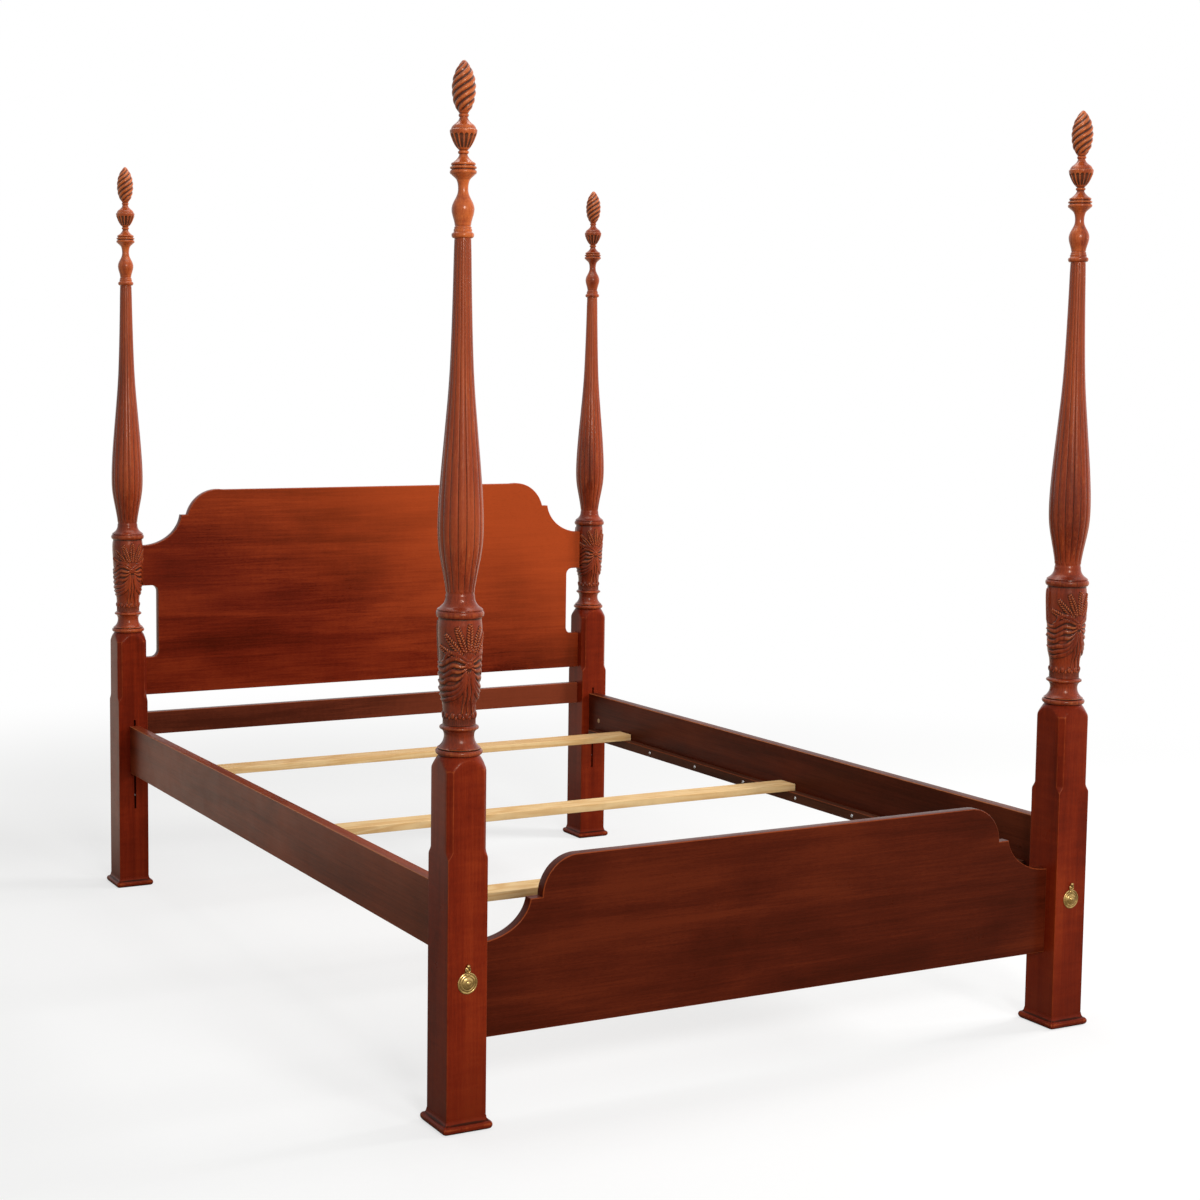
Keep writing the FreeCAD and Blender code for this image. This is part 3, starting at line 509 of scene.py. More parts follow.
def quads(rows: int, cols: int, wrap: bool) -> list[list[int]]:
    """Faces of a grid whose columns run anticlockwise and whose rows run up, so they face outwards.

    Args:
        rows: number of rows of points.
        cols: number of points in a row.
        wrap: whether the last column joins the first.

    Returns:
        Four point numbers for each face.
    """
    reach = cols if wrap else cols - 1
    i, j = np.meshgrid(np.arange(rows - 1), np.arange(reach), indexing="ij")
    k = (j + 1) % cols
    corners = np.stack([i * cols + j, i * cols + k, (i + 1) * cols + k, (i + 1) * cols + j], axis=-1)
    return corners.reshape(-1, 4).tolist()


def smoothed(values: Grid, times: int, wrap: bool = True) -> Grid:
    """Average each value with its neighbours, over and over; columns may run round.

    Args:
        values: rows by columns.
        times: number of passes.
        wrap: whether the columns run round.

    Returns:
        The averaged grid.
    """
    out = values
    for _ in range(times):
        side = np.roll(out, 1, 1) + np.roll(out, -1, 1) if wrap else 2 * out
        padded = np.pad(out, ((1, 1), (0, 0)), mode="edge")
        out = (out * 2 + side + padded[:-2] + padded[2:]) / 6
    return out


class Piece:
    """A finished mesh object, made of one or more grids."""

    def __init__(self, name: str) -> None:
        """Start an empty piece.

        Args:
            name: what the object will be called.
        """
        self.name = name
        self.points: list[Grid] = []
        self.faces: list[list[int]] = []
        self.relief: list[Grid] = []
        self.count = 0

    def add(self, points: Grid, wrap: bool = True, caps: bool = True,
            relief: Grid | None = None) -> "Piece":
        """Add one grid of points, in millimetres.

        Args:
            points: rows by columns by three.
            wrap: whether the columns close on themselves.
            caps: whether the first and last rows are closed with a flat face.
            relief: rows by columns, from -1 in a hollow or painted shade to 1 on an arris or painted
                highlight.

        Returns:
            This piece.
        """
        rows, cols = points.shape[:2]
        base = self.count
        self.faces += (np.array(quads(rows, cols, wrap)) + base).tolist()
        if caps:
            self.faces.append([base + c for c in range(cols - 1, -1, -1)])
            self.faces.append([base + (rows - 1) * cols + c for c in range(cols)])
        self.points.append(points.reshape(-1, 3))
        self.relief.append((np.zeros((rows, cols)) if relief is None else relief).reshape(-1))
        self.count += rows * cols
        return self

    def build(self, material: bpy.types.Material, body: str, slot: str, nodes: Sequence[str],
              sharp: float = 38.0) -> bpy.types.Object:
        """Make the object, dress it and fix it to its body.

        Args:
            material: its finish.
            body: the body that it rides on.
            slot: the record's material slot; not used.
            nodes: the CAD nodes that it stands for.
            sharp: edges that turn by more than this many degrees stay crisp.

        Returns:
            The object.
        """
        mesh = bpy.data.meshes.new(self.name)
        mesh.from_pydata((np.concatenate(self.points) * MM).tolist(), [], self.faces)
        layer = mesh.attributes.new("relief", "FLOAT", "POINT")
        layer.data.foreach_set("value", np.clip(np.concatenate(self.relief), -1, 1).astype(np.float32))
        mesh.polygons.foreach_set("use_smooth", np.ones(len(mesh.polygons), dtype=bool))
        mesh.set_sharp_from_angle(angle=math.radians(sharp))
        mesh.materials.append(material)
        mesh.update()
        made = bpy.data.objects.new(self.name, mesh)
        bpy.context.scene.collection.objects.link(made)
        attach(made, body)
        if nodes:
            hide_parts(*nodes)
        LOG.info("%s: %d points, %d faces", self.name, len(mesh.vertices), len(mesh.polygons))
        return made


class Profile:
    """Half of a turned outline, drawn upwards as radius and height in millimetres."""

    def __init__(self, radius: float, height: float) -> None:
        """Start at one point."""
        self.parts: list[Grid] = [np.array([[radius, height]])]

    @property
    def last(self) -> Grid:
        """The point reached so far."""
        return self.parts[-1][-1]

    def line(self, radius: float, height: float, count: int = 2) -> "Profile":
        """A straight cut.

        Args:
            radius: radius at the end.
            height: height at the end.
            count: number of steps.

        Returns:
            This profile.
        """
        t = np.linspace(0, 1, count + 1)[1:, None]
        self.parts.append(self.last + (np.array([radius, height]) - self.last) * t)
        return self

    def bead(self, radius: float, height: float, peak: float, count: int = 12) -> "Profile":
        """A round cut: half a turn of a sine is added to the straight line, so that it swells (or
        sinks) to the peak radius half way up.

        Args:
            radius: radius at the end.
            height: height at the end.
            peak: radius half way.
            count: number of steps.

        Returns:
            This profile.
        """
        turn = np.linspace(0, math.pi, count + 1)[1:]
        share = (1 - np.cos(turn)) / 2
        r0, h0 = self.last
        swell = peak - (r0 + radius) / 2
        r = r0 + (radius - r0) * share + swell * np.sin(turn)
        self.parts.append(np.stack([r, h0 + (height - h0) * share], axis=1))
        return self

    def flow(self, *points: tuple[float, float], count: int = 5) -> "Profile":
        """A smooth cut through points: each span is a cubic whose slope at a point is half the step
        between that point's neighbours.

        Args:
            points: radius and height of each point.
            count: number of steps in each span.

        Returns:
            This profile.
        """
        p = np.vstack([self.last, np.array(points)])
        slope = np.gradient(p, axis=0)
        t = np.linspace(0, 1, count + 1)[1:][None, :, None]
        a, b = p[:-1, None], p[1:, None]
        m, n = slope[:-1, None], slope[1:, None]
        body = (2 * t**3 - 3 * t**2 + 1) * a + (t**3 - 2 * t**2 + t) * m
        body = body + (-2 * t**3 + 3 * t**2) * b + (t**3 - t**2) * n
        self.parts.append(body.reshape(-1, 2))
        return self

    def points(self) -> Grid:
        """All points, as rows of radius and height."""
        return np.vstack(self.parts)


def turned(radius: Grid, height: Grid, angle: Grid, x: float, y: float) -> Grid:
    """Points round an upright axis: x + r sin(angle), y - r cos(angle), height, by rows and columns."""
    tall = np.broadcast_to(height[:, None], radius.shape)
    return np.stack([x + radius * np.sin(angle), y - radius * np.cos(angle), tall], axis=-1)


def hollows(radius: Grid, reach: int, gain: float) -> Grid:
    """Relief of a turned surface: how far each radius stands out from its smoothed neighbourhood."""
    return np.clip((radius - smoothed(radius, reach)) * gain, -1, 1)


def wrapped_degrees(value: Grid) -> Grid:
    """Angles brought to between -180 and 180 degrees."""
    return (value + 180.0) % 360.0 - 180.0


def rising(value: Grid, start: float, length: float) -> Grid:
    """0 up to the start, then evenly up to 1 over the length."""
    return np.clip((value - start) / length, 0, 1)


def falling(value: Grid, end: float, length: float) -> Grid:
    """1, then evenly down to 0 over the length before the end, and 0 past it."""
    return np.clip((end - value) / length, 0, 1)


def mound(across: Grid, up: Grid, half_width: float, half_height: float) -> Grid:
    """Squared height of a round mound: 1 less the squares of both distances over its half sizes."""
    return 1 - (across / half_width) ** 2 - (up / half_height) ** 2


@dataclass
class SheafCarving:
    """Low relief of a tied sheaf on the drum: ears fan up, long leaves wave to the sides and droop.

    The arc is the drum's millimetres per degree. Each leaf and stem is listed by points that are
    degrees round and millimetres up from the knot, and the leaves are mirrored to the other side.
    """

    knot_height: float = 942.0
    arc: float = 0.78
    leaf_width: float = 5.0
    leaf_lift: float = 2.6
    ear_lift: float = 3.0
    ear_start: float = 24.0
    ear_end: float = 79.0
    ear_width: float = 7.2
    grain_pitch: float = 5.4
    stalk_lift: float = 1.6
    petal_reach: float = 17.0
    petal_half: float = 12.0
    petal_angle: float = 21.0
    petal_spread: float = 75.0
    petal_lift: float = 1.7
    knot_radius: float = 9.5
    knot_stretch: float = 1.15
    knot_lift: float = 3.4
    knot_groove: float = 1.2
    ear_angles: tuple[float, ...] = (-64.0, -42.0, -21.0, 0.0, 21.0, 42.0, 64.0)
    leaves: tuple[tuple[tuple[float, float], ...], ...] = (
        ((-5, 7), (-17, 13), (-28, 18), (-41, 22), (-54, 22), (-65, 17), (-73, 6), (-84, 3)),
        ((-7, 2), (-21, 7), (-33, 11), (-46, 11), (-59, 7), (-70, 2), (-82, -3), (-96, -4), (-112, 0)),
        ((-8, -4), (-23, -5), (-34, -3), (-46, -2), (-60, -8), (-75, -14), (-92, -13), (-108, -9),
         (-126, -12)),
        ((-8, -9), (-22, -14), (-35, -15), (-48, -14), (-63, -21), (-78, -27), (-96, -25), (-112, -22),
         (-128, -27)),
        ((-8, -14), (-21, -24), (-36, -29), (-50, -29), (-64, -31), (-78, -38), (-95, -39), (-114, -36)),
        ((-8, -18), (-19, -32), (-34, -43), (-50, -48), (-68, -49), (-84, -52), (-102, -53), (-120, -50)),
        ((-7, -21), (-16, -37), (-31, -51), (-48, -58), (-67, -61), (-86, -64), (-110, -63)),
        ((-6, -23), (-13, -42), (-27, -58), (-44, -67), (-64, -71), (-86, -75), (-106, -74)),
    )
    stems: tuple[tuple[tuple[float, float], ...], ...] = (
        ((-3, -16), (-7, -38), (-12, -52), (-10, -65), (-13, -79), (-19, -101)),
        ((2, -16), (1, -40), (3, -60), (0, -80), (3, -102)),
        ((6, -16), (11, -38), (16, -54), (14, -68), (19, -84), (24, -101)),
    )

    def ridge(self, across: Grid, up: Grid, path: Sequence[tuple[float, float]], width: float,
              lift: float) -> Grid:
        """Height of one leaf: a round ridge on a curved line, thin at both ends.

        The line is cut in short straight spans. A point's height is lift times the root of 1 less
        the square of its distance from the nearest span over the half width there, and the half
        width swells as the sine of the way along.

        Args:
            across: distance round the drum from the knot.
            up: distance above the knot.
            path: degrees round and millimetres up, along the leaf.
            width: half width at its widest.
            lift: height at its middle.

        Returns:
            The height at each point.
        """
        nodes = np.array(path, float) * np.array([self.arc, 1.0])
        curve = Profile(*nodes[0]).flow(*[tuple(n) for n in nodes[1:]], count=4).points()
        share = np.linspace(0, 1, len(curve))
        half = width * (0.36 + 0.64 * np.sin(math.pi * share) ** 0.6)
        best = np.zeros_like(across)
        for (a, b), (c, d), w, v in zip(curve[:-1], curve[1:], half[:-1], half[1:]):
            run, rise = c - a, d - b
            reach = np.clip(((across - a) * run + (up - b) * rise) / (run**2 + rise**2), 0, 1)
            far = (across - a - reach * run) ** 2 + (up - b - reach * rise) ** 2
            best = np.maximum(best, 1 - far / (w + (v - w) * reach) ** 2)
        return lift * np.sqrt(np.clip(best, 0, 1))

    def ear(self, across: Grid, up: Grid, lean: float) -> Grid:
        """Height of one ear of grain: two staggered rows of round grains on a spindle, on a stalk.

        Args:
            across: distance round the drum from the knot.
            up: distance above the knot.
            lean: degrees from upright.

        Returns:
            The height at each point.
        """
        c, s = math.cos(math.radians(lean)), math.sin(math.radians(lean))
        along = across * s + up * c
        side = across * c - up * s
        share = (along - self.ear_start) / (self.ear_end - self.ear_start)
        spindle = np.sin(math.pi * np.clip(share, 0, 1)) ** 0.4
        row = self.ear_width * 0.5
        height = np.zeros_like(across)
        for sign in (-1, 1):
            phase = along - sign * side * 0.5 + sign * self.grain_pitch / 4
            step = phase - self.grain_pitch * np.round(phase / self.grain_pitch)
            grain = mound(side - sign * row * spindle, step, row * 1.02, self.grain_pitch * 0.5)
            height = np.maximum(height, np.sqrt(np.clip(grain, 0, 1)) * self.ear_lift * (spindle > 0.3))
        core = np.clip(1 - (side / (self.ear_width * 0.8 * spindle + 0.01)) ** 2, 0, 1)
        core = core * (spindle > 0) * 0.8
        stalk = np.clip(1 - (side / (0.8 + 0.045 * along)) ** 2, 0, 1)
        stalk = stalk * ((along > 5) & (along < self.ear_start + 4))
        return np.maximum(height, np.maximum(core, np.sqrt(stalk) * self.stalk_lift))

    def heights(self, degrees: Grid, z: Grid) -> Grid:
        """The whole carving over the drum: the highest of its parts at each point.

        The petals are a ring round the knot that a cosine of the angle cuts up, and the knot is a
        ball with a spiral groove, whose place on the radius grows with the angle.

        Args:
            degrees: angle from the knot.
            z: height.

        Returns:
            Height over the carved ground, in millimetres.
        """
        across, up = degrees * self.arc, z - self.knot_height
        out = np.zeros_like(across)
        for lean in self.ear_angles:
            out = np.maximum(out, self.ear(across, up, lean))
        lean_here = np.degrees(np.arctan2(across, up))
        ring = 1 - ((np.hypot(across, up) - self.petal_reach) / self.petal_half) ** 2
        fan = np.cos(np.radians((lean_here - self.petal_angle / 2) * (360.0 / self.petal_angle)))
        petals = np.clip(ring, 0, 1) * np.clip(fan * 0.5 + 0.5, 0, 1) * self.petal_lift
        out = np.maximum(out, petals * (np.abs(lean_here) < self.petal_spread))
        for path in self.leaves:
            out = np.maximum(out, self.ridge(across, up, path, self.leaf_width, self.leaf_lift))
            mirrored = [(-a, b) for a, b in path]
            out = np.maximum(out, self.ridge(across, up, mirrored, self.leaf_width, self.leaf_lift))
        for path in self.stems:
            out = np.maximum(out, self.ridge(across, up, path, self.leaf_width * 0.8, self.leaf_lift * 0.8))
        knot = np.hypot(across / self.knot_stretch, up) / self.knot_radius
        swirl = np.arctan2(up, across) / (2 * math.pi) * 0.42 + 0.5
        groove = self.knot_groove * np.exp(-(((knot - swirl) / 0.12) ** 2))
        return np.maximum(out, np.sqrt(np.clip(1 - knot**2, 0, 1)) * self.knot_lift - groove)


@dataclass
class CarvedDrum:
    """The turned and carved length over a post's square; its surface is worked out once for all four.

    The thumbs are domes round the drum's foot, with a small dome between each two of them, over a
    stippled band. Their arc is the millimetres per degree there. The back is a plain proud face.
    """

    carving: SheafCarving = field(default_factory=SheafCarving)
    columns: int = 312
    carved_foot: float = 838.0
    carved_top: float = 1026.0
    back_start: float = 118.0
    back_foot: float = 940.0
    back_lift: float = 1.9
    thumbs: int = 14
    thumb_arc: float = 0.6
    thumb_height: float = 838.0
    thumb_half: tuple[float, float] = (4.6, 6.4)
    thumb_lift: float = 2.8
    between_height: float = 833.5
    between_half: tuple[float, float] = (2.8, 4.0)
    between_lift: float = 1.6
    band_foot: float = 819.0
    band_top: float = 846.0
    stipple_foot: float = 819.5
    stipple_top: float = 837.0
    stipple_count: int = 52
    stipple_pitch: float = 1.5
    stipple_lift: float = 0.5

    def profile(self) -> Grid:
        """Rings, bell and drum from the neck over the square up to the shaft.

        Returns:
            Rows of radius and height.
        """
        p = Profile(40.0, 753.0).line(40.0, 756.6).line(42.0, 757.4, 1)
        p.bead(42.8, 768.4, 47.2, 14).line(41.4, 769.2, 1).line(41.2, 770.4, 1).line(43.4, 771.2, 1)
        p.flow((39.4, 774.0), (35.4, 778.6), (32.4, 784.0), (30.7, 789.8), (30.2, 795.2), (30.9, 800.4),
               (33.0, 805.2), (36.2, 808.4))
        p.line(37.4, 809.0, 1).bead(37.0, 814.8, 39.4, 9).line(34.8, 816.6, 2).line(33.0, 817.6, 1)
        p.flow((32.6, 824.0), (32.8, 832.0), (33.0, 842.0), (33.4, 852.0), (34.4, 862.0), (36.8, 872.0),
               (38.8, 882.0), (39.9, 893.0), (40.5, 906.0), (41.0, 920.0), (41.4, 935.0), (41.9, 950.0),
               (42.6, 965.0), (43.4, 980.0), (44.0, 993.0), (44.3, 1006.0), (44.1, 1016.0), (43.2, 1024.0),
               count=11)
        p.line(42.6, 1030.0, 4).line(43.4, 1031.2, 1).bead(44.2, 1044.6, 48.0, 14).line(44.0, 1045.4, 1)
        p.line(42.0, 1046.6, 1)
        return p.points()

    def surface(self) -> tuple[Grid, Grid, Grid, Grid]:
        """The turned ground's radius, plus the carving's height over the drum.

        The back keeps a plain proud face; the stippled band is a product of two cosines; the thumbs
        over it are domes spaced evenly round.

        Returns:
            Radius, height of each row, angle of each column, and relief.
        """
        line = self.profile()
        z = line[:, 1]
        degrees = np.linspace(0, 360, self.columns, endpoint=False)
        d = wrapped_degrees(np.broadcast_to(degrees, (len(z), len(degrees))))
        zz = np.broadcast_to(z[:, None], d.shape)
        radius = np.broadcast_to(line[:, :1], d.shape).copy()
        drum = rising(zz, self.carved_foot, 6.0) * falling(zz, self.carved_top, 4.0)
        back = rising(np.abs(d), self.back_start, 3.0) * rising(zz, self.back_foot, 12.0)
        radius += drum * np.maximum(self.carving.heights(d, zz), back * self.back_lift)
        pitch = 360.0 / self.thumbs
        turn = (d + pitch / 2) % pitch - pitch / 2
        thumb = mound(turn * self.thumb_arc, zz - self.thumb_height, *self.thumb_half)
        away = (np.abs(turn) - pitch / 2) * self.thumb_arc
        between = mound(away, zz - self.between_height, *self.between_half)
        band = rising(zz, self.band_foot, 1.5) * falling(zz, self.band_top, 3.0)
        domes = np.sqrt(np.clip(thumb, 0, 1)) * self.thumb_lift
        radius += band * (domes + np.sqrt(np.clip(between, 0, 1)) * self.between_lift)
        waves = 0.6 + 0.4 * np.cos(math.pi * zz / self.stipple_pitch)
        dots = np.cos(np.radians(d * self.stipple_count)) * waves
        quiet = (zz > self.stipple_foot) & (zz < self.stipple_top) & (thumb < 0) & (between < 0)
        radius += quiet * dots * self.stipple_lift
        relief = hollows(radius, 14, 1.05)
        relief = np.where(quiet, np.minimum(relief, -0.4), relief)
        return radius, z, np.radians(degrees), relief


@dataclass
class Post:
    """One post: square with its plinth, carved drum, reeded shaft and carved finial.

    The square's half width is 0.1 mm over the frame's, so that wood covers the flush ends of the
    pins. Heights are from the floor. The stop is where a chamfer runs out to the square's corner, and
    the over is how far past the corner it goes there. A depth that has a radius beside it gets less
    where the turning is thinner. The tip's turn is the degrees that its reeds wind in 100 mm. The
    plate and the cove are the plinth's.
    """

    corner: Corner
    finishes: Finishes
    carved: tuple[Grid, Grid, Grid, Grid]
    centre_x: float = 790.0
    centre_y: float = 1065.0
    half: float = 44.6
    foot: float = 26.0
    chamfer_flat: float = 55.86
    chamfer_corner: float = 62.93
    stop_foot: float = 549.0
    stop_top: float = 571.0
    stop_over: float = 1.4
    dome_foot: float = 712.0
    dome_top: float = 756.0
    dome_middle: float = 54.2
    neck: float = 41.0
    edge_power: float = 70.0
    flat_reach: float = 33.0
    turn_reach: float = 33.9
    slot_offset: float = 4.0
    slot_width: float = 6.0
    slot_depth: float = 22.0
    slot_foot: float = 233.0
    slot_top: float = 498.0
    slot_margin: float = 1.0
    reeds: int = 16
    reed_depth: float = 2.3
    reed_depth_radius: float = 45.0
    reed_foot: float = 1083.0
    reed_top: float = 1770.0
    reed_tongue: float = 7.0
    reed_ground: float = 1.1
    flutes: int = 14
    flute_depth: float = 2.6
    flute_depth_radius: float = 24.0
    flute_foot: float = 1943.0
    flute_top: float = 1972.5
    flute_tongue: float = 5.0
    tip_reeds: int = 6
    tip_turn: float = 410.0
    tip_depth: float = 3.8
    tip_depth_radius: float = 21.0
    tip_foot: float = 2013.0
    tip_top: float = 2111.0
    tip_swell: float = 0.045
    plate_power: float = 20.0
    cove_power: float = 90.0
    plate_top: float = 15.0

    @property
    def x(self) -> float:
        """Place of the axis along X."""
        return self.corner.value[0] * self.centre_x

    @property
    def y(self) -> float:
        """Place of the axis along Y."""
        return self.corner.value[1] * self.centre_y

    def square_columns(self) -> tuple[Grid, Grid]:
        """Angles of the columns round the square, close together at the corners and chamfers, with
        four extra columns for the two walls of the slot.

        Returns:
            The angles, and for each column whether it goes down into the slot.
        """
        flat = np.linspace(-self.flat_reach, self.flat_reach, 10)
        turn = np.linspace(self.turn_reach, self.half, 27)
        run = np.concatenate([-turn[::-1][:-1], flat, turn[:-1]])
        sides = [(run, np.zeros(len(run)))] * 4
        side_x, side_y = self.corner.value
        face = 0 if side_y > 0 else 2
        middle = -side_x * self.slot_offset * (1 if face == 0 else -1)
        wall = np.array([-1.0, -1.0, 1.0, 1.0]) * self.slot_width / 2 + middle
        dips = np.array([0.0, 1.0, 1.0, 0.0])
        keep = np.abs(run - middle) > self.slot_width / 2 + self.slot_margin
        low, high = run[keep & (run < middle)], run[keep & (run > middle)]
        sides[face] = (np.concatenate([low, wall, high]),
                       np.concatenate([np.zeros(len(low)), dips, np.zeros(len(high))]))
        angles = [np.arctan2(t, self.half) + math.pi / 2 * k for k, (t, _) in enumerate(sides)]
        return np.concatenate(angles), np.concatenate([d for _, d in sides])

    def square(self) -> Piece:
        """The square with its chamfers and domed top, as one surface round the axis.

        At each angle and height the radius is the least of four: the distances to the faces, to the
        chamfers (whose distance grows to the corner at their stop), and the dome, which is a
        straight slope plus a parabola that brings its middle out. The least is taken softly, as the
        sum of high powers, so arrises are eased.

        Returns:
            The piece.
        """
        angle, dips = self.square_columns()
        # Rows stand close together where the surface bends. The others only keep the faces short.
        z = np.concatenate([
            [self.foot - 1.0, 120.0, self.slot_foot, self.slot_foot, 360.0, self.slot_top, self.slot_top],
            np.linspace(520, self.stop_foot - 2, 3), np.linspace(self.stop_foot, self.stop_top + 3, 22),
            np.linspace(590, 706, 5), np.linspace(709, self.dome_top, 44),
        ])
        inside = (z >= self.slot_foot) & (z <= self.slot_top)
        # The slot's floor and roof are pairs of rows at one height, and only one of each pair is deep.
        inside[2], inside[6] = False, False
        share = rising(z, self.stop_foot, self.stop_top - self.stop_foot)
        sink = self.chamfer_corner - self.chamfer_flat + self.stop_over
        chamfer = self.chamfer_corner + self.stop_over - sink * np.sin(share * math.pi / 2) ** 1.6
        rise = rising(z, self.dome_foot, self.dome_top - self.dome_foot)
        curve = self.chamfer_corner + (self.neck - self.chamfer_corner) * rise
        dome = curve + 4 * rise * (1 - rise) * (self.dome_middle - (self.chamfer_corner + self.neck) / 2)
        beyond_corners = 90.0
        dome = np.where(z < self.dome_foot, beyond_corners, dome)
        c, s = np.abs(np.cos(angle))[None], np.abs(np.sin(angle))[None]
        p = self.edge_power
        inverse = (c / self.half) ** p + (s / self.half) ** p
        inverse = inverse + ((c + s) * math.sqrt(0.5) / chamfer[:, None]) ** p + (1 / dome[:, None]) ** p
        radius = inverse ** (-1 / p)
        points = turned(radius, z, angle, self.x, self.y)
        deep = dips[None] * inside[:, None] * self.slot_depth * self.corner.value[1]
        points[..., 1] += deep
        plain = np.minimum(np.minimum(self.half / np.maximum(c, s), dome[:, None]),
                           chamfer[:, None] / ((c + s) * math.sqrt(0.5)))
        relief = np.clip((plain - radius) * 1.5, 0, 1)
        # Painted shade: the slot's walls count as deepest hollow, so the finish darkens them.
        relief = np.where(dips[None] * inside[:, None] > 0, -1.0, relief)
        return Piece(self.corner.label + "_square").add(points, relief=relief)

    def turning(self, part: str, radius: Grid, height: Grid, angle: Grid, relief: Grid) -> Piece:
        """A part of this post, with a height for each row and an angle for each column."""
        points = turned(radius, height, angle, self.x, self.y)
        return Piece(f"{self.corner.label}_{part}").add(points, relief=relief)

    def drum(self) -> Piece:
        """The carved drum, from the surface that all posts share."""
        return self.turning("carved_drum", *self.carved)

    def shaft_profile(self) -> Grid:
        """Bell foot and swelling shaft.

        Returns:
            Rows of radius and height.
        """
        p = Profile(43.0, 1045.6).line(45.6, 1046.4, 1).line(45.4, 1047.6, 1)
        p.flow((42.2, 1050.2), (37.4, 1053.8), (33.4, 1058.4), (30.6, 1064.0), (29.3, 1070.4), (29.1, 1080.0))
        p.flow((29.5, 1089.0), (32.9, 1110.0), (36.9, 1131.0), (40.9, 1152.0), (43.9, 1173.0), (45.3, 1194.0),
               (45.6, 1214.0), (45.2, 1235.0), (44.3, 1256.0), (41.7, 1297.0), (38.3, 1339.0), (34.6, 1380.0),
               (31.0, 1421.0), (27.4, 1463.0), (24.6, 1504.0), (22.6, 1545.0), (20.5, 1606.0), (18.4, 1688.0),
               (17.4, 1740.0), (16.6, 1768.0), count=6)
        p.line(16.2, 1772.6, 3)
        return p.points()

    def collar(self) -> Piece:
        """The collar between shaft and finial: a bead that flares down, under two small steps.

        Returns:
            The piece.
        """
        p = Profile(15.8, 1771.6).line(18.2, 1772.4, 1).bead(19.2, 1782.6, 22.2, 12).line(18.3, 1783.6, 1)
        p.flow((17.9, 1785.4), (18.2, 1787.6), (18.0, 1789.0)).line(16.9, 1790.0, 1).line(16.9, 1793.6, 2)
        line = p.line(15.6, 1794.8, 2).line(15.2, 1796.0, 1).points()
        angle = np.linspace(0, 2 * math.pi, 96, endpoint=False)
        radius = np.repeat(line[:, :1], len(angle), axis=1)
        return self.turning("collar", radius, line[:, 1], angle, hollows(radius, 6, 1.1))

    def shaft(self) -> Piece:
        """The reeded shaft: each reed is a round arc across its share of the turn, and ends in a
        round tongue at the foot, with a little more wood taken away round the tongues.

        The columns crowd towards the creases between the reeds, where the surface bends most.

        Returns:
            The piece.
        """
        line = self.shaft_profile()
        steps = 12
        share = np.tile(np.linspace(-0.5, 0.5, steps, endpoint=False), self.reeds)
        share = np.sign(share) * (0.5 - 0.5 * (1 - 2 * np.abs(share)) ** 1.5)
        angle = (np.repeat(np.arange(self.reeds), steps) + share) * 2 * math.pi / self.reeds
        height, base = line[:, 1:], line[:, :1]
        tongue = self.reed_tongue * np.sqrt(np.clip(1 - (2 * np.abs(share)) ** 2.0, 0, 1))
        start = rising(height, self.reed_foot + 4 - tongue[None], 3.0)
        end = falling(height, self.reed_top, 2.0)
        size = np.clip(base / self.reed_depth_radius, 0.42, 1.0)
        arc = 1 - np.sqrt(np.clip(1 - (2 * np.abs(share)) ** 2 * 0.97, 0, 1))[None]
        radius = base - self.reed_depth * size * arc * start * end
        radius = radius - self.reed_ground * (1 - start) * rising(height, self.reed_foot - 9, 4.0) * end
        # Painted shade darkens the creases between the reeds and painted highlight lightens their crowns,
        # along with the glaze and rubbing.
        crease = -np.clip(arc * 1.5 - 0.35, 0, 1) * start * end
        crown = 0.35 * (1 - arc) * start * end
        relief = np.clip(crease + crown + hollows(radius, 3, 0.5) * 0.6, -1, 1)
        return self.turning("reeded_shaft", radius, line[:, 1], angle, relief)

    def finial_profile(self) -> Grid:
        """Vase, grooved disc, urn and pointed tip.

        Returns:
            Rows of radius and height.
        """
        p = Profile(15.0, 1794.0).line(15.4, 1796.6).line(16.0, 1797.2, 1)
        p.flow((16.8, 1803.0), (19.3, 1812.0), (21.5, 1820.0), (22.4, 1828.0), (21.3, 1835.0), (18.6, 1842.0),
               (14.4, 1850.0), (11.4, 1857.0), (10.1, 1864.0), (10.2, 1872.0), (11.3, 1879.0), (13.2, 1884.6),
               count=5)
        p.flow((16.8, 1888.6), (21.2, 1892.4), (23.6, 1895.0)).bead(24.2, 1902.4, 26.4, 10)
        p.line(22.6, 1903.4, 2).line(22.6, 1904.4, 1).bead(24.0, 1909.6, 26.2, 9)
        p.line(21.8, 1910.6, 2).line(21.8, 1911.4, 1).bead(22.4, 1916.6, 24.0, 8)
        p.flow((19.4, 1918.6), (15.2, 1921.8), (11.4, 1926.0), (8.8, 1930.2), (7.9, 1933.6), count=4)
        p.bead(8.2, 1940.0, 10.8, 9).line(8.4, 1941.0, 1)
        p.flow((11.4, 1943.6), (15.8, 1948.8), (19.8, 1955.4), (23.0, 1962.4), (25.4, 1969.6), (26.7, 1975.4),
               count=6)
        p.line(26.8, 1979.2, 4).line(25.9, 1980.3, 1).line(24.6, 1981.2, 1)
        p.flow((23.6, 1984.2), (20.8, 1988.4), (15.4, 1992.6), (10.6, 1997.4), (8.3, 2002.6), (7.9, 2004.4),
               count=5)
        p.bead(8.2, 2010.4, 10.1, 9).line(8.6, 2011.4, 1)
        p.flow((11.8, 2016.0), (15.4, 2022.0), (18.9, 2030.0), (21.3, 2041.0), (22.6, 2053.0), (22.6, 2064.0),
               (21.0, 2077.0), (17.9, 2088.0), (13.8, 2097.0), (9.0, 2105.0), (4.6, 2110.6), count=7)
        p.flow((3.2, 2111.9), (1.6, 2112.7), (0.3, 2113.0), count=3)
        return p.points()

